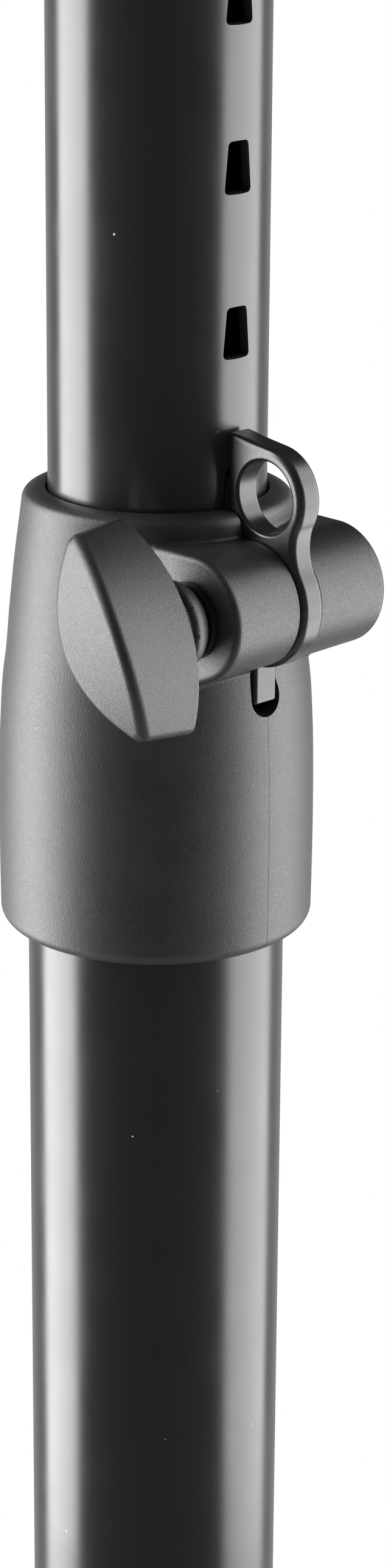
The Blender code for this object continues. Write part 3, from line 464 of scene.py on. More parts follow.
def wear_group():
    """Mask of the outer edges that hands and cloths polish, broken up by noise."""
    group, entry, leave = new_group("edge_wear", (("Start", 0.53), ("Full", 0.62), ("Patchiness", 0.5)),
                                    (("Mask", "NodeSocketFloat"),))
    shape = group.nodes.new("ShaderNodeNewGeometry")
    step = group.nodes.new("ShaderNodeMapRange")
    step.interpolation_type = "SMOOTHSTEP"
    group.links.new(shape.outputs["Pointiness"], step.inputs["Value"])
    group.links.new(entry.outputs["Start"], step.inputs["From Min"])
    group.links.new(entry.outputs["Full"], step.inputs["From Max"])
    patches = noise(group, place_on_piece(group), 350.0, 3.0)
    patchy = math_node(group, "MULTIPLY", patches, entry.outputs["Patchiness"])
    mask = math_node(group, "SUBTRACT", step.outputs["Result"], patchy, clamp=True)
    group.links.new(mask, leave.inputs["Mask"])
    return group


def shared(name):
    """A shared node group, built the first time it is asked for."""
    found = bpy.data.node_groups.get(name)
    builders = {"moulding_grain_and_glints": grain_and_glint_group, "dust_specks": dust_group, "edge_wear": wear_group}
    return found or builders[name]()


def use_group(tree, name, **values):
    node = tree.nodes.new("ShaderNodeGroup")
    node.node_tree = shared(name)
    for label, value in values.items():
        node.inputs[label].default_value = value
    return node


def mix_colour(tree, share, first, second):
    node = tree.nodes.new("ShaderNodeMix")
    node.data_type = "RGBA"
    tree.links.new(share, node.inputs["Factor"])
    for label, value in (("A", first), ("B", second)):
        place = next(s for s in node.inputs if s.name == label and s.type == "RGBA")
        if isinstance(value, bpy.types.NodeSocket):
            tree.links.new(value, place)
        else:
            place.default_value = (*value, 1.0)
    return next(s for s in node.outputs if s.type == "RGBA")


def scaled(colour, factor):
    return tuple(min(1.0, channel * factor) for channel in colour)


def new_material(name, roughness, metallic=0.0, specular=0.5):
    made = bpy.data.materials.new(name)
    made.use_nodes = True
    tree = made.node_tree
    shader = tree.nodes["Principled BSDF"]
    shader.inputs["Roughness"].default_value = roughness
    shader.inputs["Metallic"].default_value = metallic
    shader.inputs["Specular IOR Level"].default_value = specular
    return made, tree, shader


def bump(tree, shader, height, depth):
    node = tree.nodes.new("ShaderNodeBump")
    node.inputs["Strength"].default_value = 1.0
    node.inputs["Distance"].default_value = depth
    tree.links.new(height, node.inputs["Height"])
    tree.links.new(node.outputs["Normal"], shader.inputs["Normal"])


def tube_paint():
    """Smooth satin black paint with slight unevenness and specks of dust."""
    made, tree, shader = new_material("satin_black_paint", 0.25, specular=0.85)
    dust = use_group(tree, "dust_specks", Spacing=sizes().dust_spacing, Size=0.045)
    base = mix_colour(tree, dust.outputs["Mask"], tuple(colours().tube_paint), tuple(colours().dust))
    tree.links.new(base, shader.inputs["Base Color"])
    place = place_on_piece(tree)
    cloudy = noise(tree, place, 60.0, 3.0)
    gloss = ramp(tree, cloudy, 0.3, 0.7, 0.23, 0.27)
    rough = math_node(tree, "ADD", gloss, math_node(tree, "MULTIPLY", dust.outputs["Mask"], 0.5))
    tree.links.new(rough, shader.inputs["Roughness"])
    skin = noise(tree, place, 900.0, 2.0)
    bump(tree, shader, skin, 0.000004)
    return made


def moulding(name="grained_moulding", with_seam_groove_and_shade=False):
    """Dark grey plastic with a fine spark eroded grain, painted glints on the grain's tops, and, where
    asked, painted shade along the collar's parting line.
    """
    made, tree, shader = new_material(name, 0.42, specular=0.95)
    grain = use_group(tree, "moulding_grain_and_glints", Spacing=sizes().grain, Unevenness=0.3)
    base = tuple(colours().moulding)
    # Painted glints: the grain's tops are made much lighter in colour than the rest.
    tops = mix_colour(tree, grain.outputs["Painted_glints"], scaled(base, 0.7), scaled(base, 3.5))
    wear = use_group(tree, "edge_wear", Start=0.55, Full=0.66, Patchiness=0.6)
    worn = mix_colour(tree, wear.outputs["Mask"], tops, scaled(base, 2.6))
    place = place_on_piece(tree)
    clouds = ramp(tree, noise(tree, place, 90.0, 2.0), 0.35, 0.65)
    surface = mix_colour(tree, clouds, worn, scaled(base, 1.15))
    height = grain.outputs["Height"]
    if with_seam_groove_and_shade:
        line = seam_groove_and_shade_mask(tree, place)
        # Painted shade: the parting line is darkened in colour, besides being cut as a groove in the bump.
        surface = mix_colour(tree, line, surface, scaled(base, 0.15))
        height = math_node(tree, "SUBTRACT", height, math_node(tree, "MULTIPLY", line, 3.0))
    tree.links.new(surface, shader.inputs["Base Color"])
    rough = ramp(tree, grain.outputs["Height"], 0.5, 0.85, 0.50, 0.34)
    tree.links.new(rough, shader.inputs["Roughness"])
    bump(tree, shader, height, sizes().grain_depth)
    return made


def seam_groove_and_shade_mask(tree, place):
    """Thin parting line down the collar's front, from the slit to its foot: a mask for its groove in the
    bump and for the painted shade in it.
    """
    split = tree.nodes.new("ShaderNodeSeparateXYZ")
    tree.links.new(place, split.inputs["Vector"])
    aside = math_node(tree, "ABSOLUTE", split.outputs["X"])
    near = ramp(tree, aside, SEAM_HALF * 0.6, SEAM_HALF, 1.0, 0.0)
    front = math_node(tree, "LESS_THAN", split.outputs["Y"], -SLEEVE_BORE)
    below = math_node(tree, "LESS_THAN", split.outputs["Z"], RIM_Z - SLIT_DEPTH)
    return math_node(tree, "MULTIPLY", near, math_node(tree, "MULTIPLY", front, below))


def powder_coat():
    """Fine textured black powder coat of the plates."""
    made, tree, shader = new_material("textured_powder_coat", 0.5, specular=0.6)
    place = place_on_piece(tree)
    bumps = noise(tree, place, 1.0 / sizes().texture, 2.0, 0.55)
    tops = ramp(tree, bumps, 0.5, 0.7)
    base = tuple(colours().powder_coat)
    clear = mix_colour(tree, tops, base, scaled(base, 1.6))
    dust = use_group(tree, "dust_specks", Spacing=0.009, Size=0.04)
    tree.links.new(mix_colour(tree, dust.outputs["Mask"], clear, tuple(colours().dust)),
                   shader.inputs["Base Color"])
    tree.links.new(ramp(tree, bumps, 0.35, 0.7, 0.62, 0.42), shader.inputs["Roughness"])
    bump(tree, shader, bumps, sizes().texture_depth)
    return made


def latch_coat():
    """Smooth satin gloss coating, polished where fingers pull."""
    made, tree, shader = new_material("latch_coating", 0.25, specular=0.9)
    base = tuple(colours().latch_coat)
    wear = use_group(tree, "edge_wear", Start=0.56, Full=0.7, Patchiness=0.7)
    worn = mix_colour(tree, wear.outputs["Mask"], base, scaled(base, 2.5))
    dust = use_group(tree, "dust_specks", Spacing=0.005, Size=0.03)
    tree.links.new(mix_colour(tree, dust.outputs["Mask"], worn, tuple(colours().dust)),
                   shader.inputs["Base Color"])
    place = place_on_piece(tree)
    tree.links.new(ramp(tree, noise(tree, place, 160.0, 3.0), 0.3, 0.7, 0.24, 0.32),
                   shader.inputs["Roughness"])
    bump(tree, shader, noise(tree, place, 700.0, 2.0), 0.000008)
    return made


def smooth_plastic():
    """Plain slide plastic with faint turning marks."""
    made, tree, shader = new_material("slide_plastic_finish", 0.4)
    place = place_on_piece(tree)
    rings = tree.nodes.new("ShaderNodeTexWave")
    rings.bands_direction = "Z"
    rings.inputs["Scale"].default_value = 900.0
    rings.inputs["Distortion"].default_value = 1.5
    tree.links.new(place, rings.inputs["Vector"])
    base = tuple(colours().slide_plastic)
    tree.links.new(mix_colour(tree, noise(tree, place, 200.0), base, scaled(base, 1.3)),
                   shader.inputs["Base Color"])
    tree.links.new(ramp(tree, rings.outputs["Fac"], 0.0, 1.0, 0.36, 0.46), shader.inputs["Roughness"])
    bump(tree, shader, rings.outputs["Fac"], 0.00001)
    return made


def rubber(name, scale, depth):
    """Matte rubber with a fine moulded skin."""
    made, tree, shader = new_material(name, 0.85, specular=0.3)
    place = place_on_piece(tree)
    skin = noise(tree, place, scale, 3.0, 0.6)
    base = tuple(colours().rubber)
    dusty = ramp(tree, noise(tree, place, 40.0, 4.0), 0.45, 0.75)
    tree.links.new(mix_colour(tree, dusty, base, scaled(base, 1.7)), shader.inputs["Base Color"])
    tree.links.new(ramp(tree, skin, 0.3, 0.7, 0.92, 0.75), shader.inputs["Roughness"])
    bump(tree, shader, skin, depth)
    return made


def metal(name, base, roughness, specular=0.5, metallic=1.0, stretch=(1.0, 1.0, 12.0)):
    """Plated or turned metal with fine lines and slight stains."""
    made, tree, shader = new_material(name, roughness, metallic, specular)
    place = place_on_piece(tree)
    along = tree.nodes.new("ShaderNodeMapping")
    along.inputs["Scale"].default_value = stretch
    tree.links.new(place, along.inputs["Vector"])
    lines = noise(tree, along.outputs["Vector"], 500.0, 3.0)
    stains = ramp(tree, noise(tree, place, 120.0, 4.0), 0.4, 0.75)
    tree.links.new(mix_colour(tree, stains, base, scaled(base, 0.72)), shader.inputs["Base Color"])
    tree.links.new(ramp(tree, lines, 0.3, 0.7, roughness - 0.06, roughness + 0.1),
                   shader.inputs["Roughness"])
    bump(tree, shader, lines, 0.000006)
    return made


FINISHES = {
    "satin_paint": tube_paint,
    "grained_plastic": moulding,
    "seam_shaded_plastic": lambda: moulding("seam_shaded_moulding", True),
    "powder_coated_steel": powder_coat,
    "latch_coating": latch_coat,
    "slide_plastic": smooth_plastic,
    "foot_rubber": lambda: rubber("foot_rubber_skin", 900.0, 0.00006),
    "mat_rubber": lambda: rubber("mat_rubber_skin", 700.0, 0.00012),
    "zinc_steel": lambda: metal("zinc_plating", tuple(colours().zinc), 0.3),
    "black_screw": lambda: metal("black_oxide", tuple(colours().black_oxide), 0.34, 0.8, 0.7),
    "insert_brass": lambda: metal("turned_brass", tuple(colours().brass), 0.3),
    "spring_steel": lambda: metal("spring_wire", tuple(colours().spring_steel), 0.24),
}
MADE_FINISHES = {}


def finish_of(slot):
    if slot not in MADE_FINISHES:
        MADE_FINISHES[slot] = FINISHES[slot]()
    return MADE_FINISHES[slot]


# Mesh building


def link(name, mesh):
    obj = bpy.data.objects.new(name, mesh)
    bpy.context.scene.collection.objects.link(obj)
    return obj


def link_shape(name, shape):
    """A new object from a bmesh, which is freed."""
    mesh = bpy.data.meshes.new(name)
    shape.to_mesh(mesh)
    shape.free()
    return link(name, mesh)


def settle(obj, turn=UPRIGHT, at=(0.0, 0.0, 0.0)):
    """Bake an object's place into its mesh."""
    place = Matrix.Translation(at) @ turn_matrix(turn)
    obj.data.transform(place)
    return obj


def turn_matrix(turn):
    x, y, z = turn
    return Matrix.Rotation(z, 4, "Z") @ Matrix.Rotation(y, 4, "Y") @ Matrix.Rotation(x, 4, "X")


def turned(name, profile, facets=ROUND_FACETS, turn=UPRIGHT, at=(0.0, 0.0, 0.0)):
    """Sweep a profile of (radius, height) points about Z. A profile that starts off the axis is closed."""
    shape = bmesh.new()
    rings = []
    for radius, height in profile:
        if radius <= HAIR:
            rings.append([shape.verts.new((0.0, 0.0, height))] * facets)
            continue
        turns = [2.0 * math.pi * step / facets for step in range(facets)]
        rings.append([shape.verts.new((radius * math.cos(t), radius * math.sin(t), height)) for t in turns])
    pairs = list(zip(rings, rings[1:]))
    if profile[0][0] > HAIR:
        pairs.append((rings[-1], rings[0]))
    for first, second in pairs:
        for step in range(facets):
            after = (step + 1) % facets
            corners = [first[step], first[after], second[after], second[step]]
            single = [v for i, v in enumerate(corners) if v not in corners[:i]]
            if len(single) > 2:
                shape.faces.new(single)
    bmesh.ops.recalc_face_normals(shape, faces=shape.faces)
    return settle(link_shape(name, shape), turn, at)


def arc(centre, radius, start, end, steps):
    turns = [start + (end - start) * step / steps for step in range(steps + 1)]
    return [(centre[0] + radius * math.cos(t), centre[1] + radius * math.sin(t)) for t in turns]


def rounded(corners, steps=6):
    """Outline through (x, y, radius) corners, each rounded by its own radius."""
    points = []
    count = len(corners)
    for i, (x, y, radius) in enumerate(corners):
        here = Vector((x, y))
        before = (Vector(corners[i - 1][:2]) - here).normalized()
        after = (Vector(corners[(i + 1) % count][:2]) - here).normalized()
        if radius <= 0.0:
            points.append((x, y))
            continue
        half = before.angle(after) / 2.0
        centre = here + (before + after).normalized() * (radius / math.sin(half))
        start = here + before * (radius / math.tan(half)) - centre
        end = here + after * (radius / math.tan(half)) - centre
        sweep = start.angle_signed(end)
        for step in range(steps + 1):
            spoke = start.copy()
            spoke.rotate(Matrix.Rotation(-sweep * step / steps, 2))
            points.append(tuple(centre + spoke))
    return points


def slab(name, outlines, thickness, turn=UPRIGHT, at=(0.0, 0.0, 0.0)):
    """Flat piece from 2D outlines, the first one outside and the others holes."""
    curve = bpy.data.curves.new(name + "_outline", "CURVE")
    curve.dimensions = "2D"
    curve.fill_mode = "BOTH"
    curve.extrude = thickness / 2.0
    for outline in outlines:
        spline = curve.splines.new("POLY")
        spline.points.add(len(outline) - 1)
        for point, (x, y) in zip(spline.points, outline):
            point.co = (x, y, 0.0, 1.0)
        spline.use_cyclic_u = True
    guide = link(name + "_outline", curve)
    mesh = evaluated_mesh(guide)
    bpy.data.objects.remove(guide)
    mesh.materials.clear()
    shape = bmesh.new()
    shape.from_mesh(mesh)
    bmesh.ops.remove_doubles(shape, verts=shape.verts, dist=DOUBLE)
    bmesh.ops.dissolve_limit(shape, angle_limit=math.radians(0.5), verts=shape.verts, edges=shape.edges)
    bmesh.ops.recalc_face_normals(shape, faces=shape.faces)
    shape.to_mesh(mesh)
    shape.free()
    mesh.name = name
    return settle(link(name, mesh), turn, at)


def evaluated_mesh(obj):
    bpy.context.view_layer.update()
    graph = bpy.context.evaluated_depsgraph_get()
    return bpy.data.meshes.new_from_object(obj.evaluated_get(graph))


def apply_modifiers(obj):
    mesh = evaluated_mesh(obj)
    obj.modifiers.clear()
    old = obj.data
    obj.data = mesh
    bpy.data.meshes.remove(old)
    return obj


def mended(obj):
    """Merges doubled points and closes hairline gaps, so that the mesh is one closed skin."""
    shape = bmesh.new()
    shape.from_mesh(obj.data)
    for _ in range(MEND_ROUNDS):
        bmesh.ops.remove_doubles(shape, verts=shape.verts[:], dist=MEND_REACH)
        bmesh.ops.dissolve_degenerate(shape, dist=MEND_REACH, edges=shape.edges[:])
        gaps = [edge for edge in shape.edges if len(edge.link_faces) == 1]
        if gaps:
            bmesh.ops.holes_fill(shape, edges=gaps, sides=0)
    bmesh.ops.recalc_face_normals(shape, faces=shape.faces[:])
    shape.to_mesh(obj.data)
    shape.free()
    return obj


def boolean(obj, tools, operation="DIFFERENCE"):
    for tool in tools:
        step = obj.modifiers.new(tool.name, "BOOLEAN")
        step.operation = operation
        step.object = tool
        step.solver = "EXACT"
    apply_modifiers(obj)
    for tool in tools:
        bpy.data.objects.remove(tool)
    return mended(obj)


def bevel(obj, width, segments=3, angle=35.0):
    step = obj.modifiers.new("edges", "BEVEL")
    step.width = width
    step.segments = segments
    step.limit_method = "ANGLE"
    step.angle_limit = math.radians(angle)
    step.use_clamp_overlap = True
    return apply_modifiers(obj)


def shade(obj, angle=35.0):
    """Smooth faces with sharp edges kept, and flat faces kept flat."""
    mesh = obj.data
    mesh.polygons.foreach_set("use_smooth", [True] * len(mesh.polygons))
    mesh.set_sharp_from_angle(angle=math.radians(angle))
    step = obj.modifiers.new("even_shading", "WEIGHTED_NORMAL")
    step.keep_sharp = True
    step.weight = 80
    return apply_modifiers(obj)


def dress(obj, body, slot, nodes=(), finish=None):
    """Give a piece the finish of its slot, or the finish given, put it on its body, and hide the CAD nodes
    it stands for.
    """
    obj.data.materials.clear()
    obj.data.materials.append(finish_of(finish or slot))
    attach(obj, body)
    if nodes:
        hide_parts(*nodes)
    return obj


def rod(name, radius, half, turn, at, facets=SCREW_FACETS):
    return turned(name, [(0.0, -half), (radius, -half), (radius, half), (0.0, half)], facets, turn, at)


def hex_outline(across_flats):
    corner = across_flats / math.sqrt(3.0)
    return [(corner * math.cos(math.radians(60.0 * i)), corner * math.sin(math.radians(60.0 * i)))
            for i in range(6)]


def box_outline(width, depth, corner=0.0, steps=10):
    x, y = width / 2.0, depth / 2.0
    return rounded([(x, y, corner), (-x, y, corner), (-x, -y, corner), (x, -y, corner)], steps)


def ring_corners(outer, inner, low, high, edge):
    return [(outer, high, edge), (outer, low, edge), (inner, low, edge), (inner, high, edge)]


def soft_turned(name, corners, facets=ROUND_FACETS, turn=UPRIGHT, at=(0.0, 0.0, 0.0)):
    """Turned piece whose (radius, height, edge) corners are rounded by their own edge."""
    return shade(turned(name, rounded(corners, SOFT_STEPS), facets, turn, at), 50.0)


def lofted(name, rings):
    """Closed solid through rings of the same number of points."""
    shape = bmesh.new()
    made = [[shape.verts.new(point) for point in ring] for ring in rings]
    for first, second in zip(made, made[1:]):
        for step in range(len(first)):
            after = (step + 1) % len(first)
            shape.faces.new((first[step], first[after], second[after], second[step]))
    shape.faces.new(made[0])
    shape.faces.new(made[-1])
    bmesh.ops.recalc_face_normals(shape, faces=shape.faces)
    return link_shape(name, shape)


def joined(objects, name):
    """Several meshes as one object."""
    shape = bmesh.new()
    for obj in objects:
        shape.from_mesh(obj.data)
        bpy.data.objects.remove(obj)
    return link_shape(name, shape)


def joined_copy(name, node):
    """A CAD node's solid with its doubled corners merged, as the start of a finer piece."""
    shape = bmesh.new()
    shape.from_mesh(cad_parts[node].data)
    bmesh.ops.remove_doubles(shape, verts=shape.verts, dist=DOUBLE)
    return link_shape(name, shape)


# Shapes given as a distance field, onto which a fine mesh is drawn


def round_cut(first, second, radius):
    """Where two solids overlap, with their common edge rounded."""
    u = np.maximum(first + radius, 0.0)
    v = np.maximum(second + radius, 0.0)
    return np.minimum(-radius, np.maximum(first, second)) + np.hypot(u, v)


def round_join(first, second, radius):
    """Two solids together, with a fillet where they meet."""
    u = np.maximum(radius - first, 0.0)
    v = np.maximum(radius - second, 0.0)
    return np.maximum(radius, np.minimum(first, second)) - np.hypot(u, v)


def field_slope(field, points):
    step = 0.00002
    slope = np.zeros_like(points)
    for axis in range(3):
        ahead = points.copy()
        ahead[:, axis] += step
        behind = points.copy()
        behind[:, axis] -= step
        slope[:, axis] = (field(ahead) - field(behind)) / (2.0 * step)
    return slope


def vertex_places(mesh):
    points = np.zeros(len(mesh.vertices) * 3)
    mesh.vertices.foreach_get("co", points)
    return points.reshape(-1, 3)


def drawn_onto(obj, voxel, field, reach=0.0020, rounds=6):
    """Remesh a rough solid finely and draw its surface onto the zero level of a distance field."""
    step = obj.modifiers.new("fine_mesh", "REMESH")
    step.mode = "VOXEL"
    step.voxel_size = voxel
    apply_modifiers(obj)
    points = vertex_places(obj.data)
    start = points.copy()
    near = np.abs(field(points)) < reach
    for _ in range(rounds):
        slope = field_slope(field, points)
        steepness = np.maximum((slope ** 2).sum(1), 0.05)
        move = slope * (field(points) / steepness)[:, None]
        points[near] -= move[near]
    moved = np.linalg.norm(points - start, axis=1)
    lost = moved > 1.5 * reach
    points[lost] = start[lost]
    obj.data.vertices.foreach_set("co", points.ravel())
    obj.data.update()
    return obj


def field_normals(obj, field, agreement=0.5):
    """Smooth shading from the field's slope, and flat shading on the faces that were cut afterwards."""
    mesh = obj.data
    mesh.polygons.foreach_set("use_smooth", [True] * len(mesh.polygons))
    slope = field_slope(field, vertex_places(mesh))
    soft = slope / np.maximum(np.linalg.norm(slope, axis=1), HAIR)[:, None]
    corners = np.zeros(len(mesh.loops), dtype=int)
    mesh.loops.foreach_get("vertex_index", corners)
    counts = np.zeros(len(mesh.polygons), dtype=int)
    mesh.polygons.foreach_get("loop_total", counts)
    flat = np.zeros(len(mesh.polygons) * 3)
    mesh.polygons.foreach_get("normal", flat)
    flat = np.repeat(flat.reshape(-1, 3), counts, axis=0)
    soft = soft[corners]
    agrees = (soft * flat).sum(1) > agreement
    mesh.normals_split_custom_set(np.where(agrees[:, None], soft, flat).tolist())
    return obj


def collar_radius(drop):
    depths = np.array([depth for depth, _ in COLLAR_CURVE])
    radii = np.array([radius for _, radius in COLLAR_CURVE])
    slopes = np.gradient(radii, depths)
    place = np.clip(np.searchsorted(depths, drop) - 1, 0, len(depths) - 2)
    span = depths[place + 1] - depths[place]
    t = np.clip((drop - depths[place]) / span, 0.0, 1.0)
    share = 3.0 * t ** 2 - 2.0 * t ** 3
    level = (1.0 - share) * radii[place] + share * radii[place + 1]
    lean = (t ** 3 - 2.0 * t ** 2 + t) * slopes[place] + (t ** 3 - t ** 2) * slopes[place + 1]
    return level + span * lean


def collar_field(points):
    """Collar with its ears and its stepped bore, without the slit and the holes."""
    x, y, z = points.T
    radius = np.hypot(x, y)
    wall = (radius - collar_radius(RIM_Z - z)) * 0.99
    rim_width = COLLAR_CURVE[0][1] - RIM_FLAT_RADIUS
    share = np.maximum(radius - RIM_FLAT_RADIUS, 0.0) / rim_width
    rim_slope = RIM_FALL * RIM_CURVE * share ** (RIM_CURVE - 1.0) / rim_width
    rim = (z - RIM_Z + RIM_FALL * share ** RIM_CURVE) / np.sqrt(1.0 + rim_slope ** 2)
    body = round_cut(wall, rim, RIM_EDGE)
    body = round_cut(body, COLLAR_FLOOR - z, COLLAR_FOOT_ROUND)
    back = y - PIVOT_Y
    up = z - PIVOT_Z
    lean = math.radians(EAR_UNDERSIDE_ANGLE)
    below = -math.sin(lean) * back - math.cos(lean) * up
    behind = math.cos(lean) * back - math.sin(lean) * up
    hull = np.where((behind >= 0.0) & (below > 0.0), below, np.hypot(back, up))
    hull = np.where((back >= 0.0) & (up > 0.0), up, hull)
    inside = (back >= 0.0) & (up <= 0.0) & (below <= 0.0)
    hull = np.where(inside, 0.0, hull) - EAR_RADIUS
    span = np.abs(x - (EAR_LEFT + EAR_RIGHT) / 2.0) - (EAR_RIGHT - EAR_LEFT) / 2.0
    ears = np.maximum(round_cut(hull, span, EAR_EDGE), y + EAR_ROOT)
    solid = round_join(body, ears, EAR_FILLET)
    bore = np.minimum(radius - LIP_BORE, np.maximum(radius - BUSH_BORE, z - (RIM_Z - LIP_DEPTH)))
    bore = np.minimum(bore, np.maximum(radius - SLEEVE_BORE, z - (COLLAR_FLOOR + SLEEVE_TOP_UP)))
    return round_cut(solid, -bore, LIP_EDGE)


def collar_hull():
    """Rough collar close to its field: a turned wall and a block for the ears."""
    drops = np.linspace(RIM_FALL, COLLAR_CURVE[-1][0], 40)
    profile = [(float(radius), RIM_Z - float(drop)) for drop, radius in zip(drops, collar_radius(drops))]
    sleeve_top = COLLAR_FLOOR + SLEEVE_TOP_UP
    profile += [(SLEEVE_BORE, COLLAR_FLOOR), (SLEEVE_BORE, sleeve_top), (BUSH_BORE, sleeve_top),
                (BUSH_BORE, RIM_Z - LIP_DEPTH), (LIP_BORE, RIM_Z - LIP_DEPTH), (LIP_BORE, RIM_Z),
                (RIM_FLAT_RADIUS, RIM_Z)]
    wall = turned("collar_wall", profile, ROUND_FACETS)
    lean = math.radians(EAR_UNDERSIDE_ANGLE)
    back = -PIVOT_Y - EAR_ROOT
    outline = arc((0.0, 0.0), EAR_RADIUS, math.pi / 2.0, 1.5 * math.pi - lean, 30)
    last_y, last_z = outline[-1]
    outline += [(back, last_z - (back - last_y) * math.tan(lean)), (back, EAR_RADIUS)]
    middle = ((EAR_LEFT + EAR_RIGHT) / 2.0, PIVOT_Y, PIVOT_Z)
    ears = slab("collar_ears", [outline], EAR_RIGHT - EAR_LEFT, ALONG_X, middle)
    boolean(ears, [rod("ear_well", BUSH_BORE, 0.05, UPRIGHT, (0.0, 0.0, PIVOT_Z), ROUND_FACETS)])
    return joined([wall, ears], "collar_moulding")


def slit_outline():
    """Front view of the slit above the centre of its round end: it narrows upwards, on the right at once."""
    points = arc((0.0, 0.0), SLIT_END_RADIUS, math.pi, 2.0 * math.pi, 32)
    for step in range(1, SLIT_STEPS + 1):
        share = step / SLIT_STEPS
        eased = share * share * (3.0 - 2.0 * share)
        points.append((SLIT_END_RADIUS + (SLIT_RIGHT - SLIT_END_RADIUS) * eased, SLIT_SHOULDER * share))
    left_foot = PIVOT_Z - RIM_Z + SLIT_DEPTH - SLIT_END_RADIUS
    return points + [(SLIT_RIGHT, SLIT_REACH), (SLIT_LEFT, SLIT_REACH), (SLIT_LEFT, left_foot)]


def make_collar():
    collar = drawn_onto(collar_hull(), sizes().collar_voxel, collar_field)
    slit_end = RIM_Z - SLIT_DEPTH + SLIT_END_RADIUS
    slit = slab("slit", [slit_outline()], CUT_LONG, FACING_FRONT, (0.0, PIVOT_Y - 0.003, slit_end))
    stud = rod("stud_hole", STUD_HOLE, CUT_LONG, AXIS_X, (STUD_HOLE_END - CUT_LONG, PIVOT_Y, PIVOT_Z))
    pocket = slab("insert_pocket", [hex_outline(INSERT_POCKET_FLATS)], INSERT_LENGTH + 2.0 * GAP, AXIS_X,
                  (INSERT_START + INSERT_LENGTH / 2.0, PIVOT_Y, PIVOT_Z))
    half_swing = math.radians(SPRING_MIDDLE_TURN)
    tang = rod("tang_pocket", SPRING_POCKET_RADIUS, SPRING_POCKET_END / 2.0, AXIS_X,
               (SPRING_POCKET_END / 2.0, PIVOT_Y - SPRING_RADIUS * math.sin(half_swing),
                PIVOT_Z + SPRING_RADIUS * math.cos(half_swing)))
    screw_z = COLLAR_FLOOR + SCREW_UP
    recess = rod("screw_recess", SCREW_RECESS_RADIUS, CUT_SHORT, AXIS_Y,
                 (0.0, SCREW_SEAT + CUT_SHORT, screw_z))
    hole = rod("screw_hole", COLLAR_SCREW_RADIUS + GAP, CUT_SHORT, AXIS_Y, (0.0, SCREW_SEAT, screw_z))
    boolean(collar, [slit, stud, pocket, tang, recess, hole])
    field_normals(collar, collar_field)
    dress(collar, "base", "grained_plastic", ["clamp_collar"], "seam_shaded_plastic")
    screw = screw_head("collar_screw_dark", *COLLAR_SCREW_HEAD, COLLAR_SCREW_KEY, AXIS_Y,
                       (0.0, SCREW_SEAT + GAP, screw_z), (COLLAR_SCREW_RADIUS, COLLAR_SCREW_LENGTH))
    dress(screw, "base", "black_screw", ["collar_screw"])


def wing_frame(points):
    """Points in the wing's own frame: out along X, across its thickness and along its length."""
    tilt = math.radians(WING_TILT)
    y = points[:, 1] - PIVOT_Y
    z = points[:, 2] - PIVOT_Z
    across = y * math.cos(tilt) - z * math.sin(tilt)
    along = y * math.sin(tilt) + z * math.cos(tilt)
    return points[:, 0], across, along


def knob_field(points):
    out, across, along = wing_frame(points)
    drafted = WING_HALF_LENGTH - WING_DRAFT * (WING_INNER - out) / (WING_INNER - WING_OUTER)
    along = along - WING_RAISE
    share = along / drafted
    bulge = WING_HALF_THICKNESS - WING_TIP_HALF
    radius = (WING_HALF_LENGTH ** 2 + bulge ** 2) / (2.0 * bulge)
    offset = radius - WING_HALF_THICKNESS
    run = share * WING_HALF_LENGTH
    lens = np.hypot(np.abs(across) + offset, run) - radius
    bow = 1.0 - np.clip(share, -1.1, 1.1) ** 2
    crown_slope = 2.0 * WING_CROWN * share / drafted
    crown = (WING_OUTER - WING_CROWN * bow - out) / np.sqrt(1.0 + crown_slope ** 2)
    hollow_slope = 2.0 * WING_HOLLOW * share / drafted
    hollow = (out - WING_INNER - WING_HOLLOW * bow) / np.sqrt(1.0 + hollow_slope ** 2)
    wing = round_cut(lens, np.abs(along) - drafted, WING_TIP_EDGE)
    wing = round_cut(wing, crown, WING_RIDGE)
    wing = round_cut(wing, hollow, WING_BACK_EDGE)
    nose = np.hypot(points[:, 1] - PIVOT_Y, points[:, 2] - PIVOT_Z)
    root = WING_INNER + WING_HOLLOW - GAP
    swell = np.clip((out - root) / HUB_SWELL, 0.0, 1.0)
    swell = swell * swell * (3.0 - 2.0 * swell)
    hub = nose - HUB_ROOT_RADIUS - (HUB_RADIUS - HUB_ROOT_RADIUS) * swell
    hub = np.maximum(round_cut(hub, out - HUB_END, HUB_EDGE), root - out)
    solid = round_join(wing, hub, HUB_FILLET)
    bore = np.maximum(nose - STUD_HOLE, KNOB_BORE_LOW - out)
    return round_cut(solid, -bore, GAP)


def make_knob():
    knob = joined_copy("wing_knob_moulding", "wing_knob")
    drawn_onto(knob, sizes().knob_voxel, knob_field)
    field_normals(knob, knob_field)
    return dress(knob, "clamp_knob", "grained_plastic", ["wing_knob"])


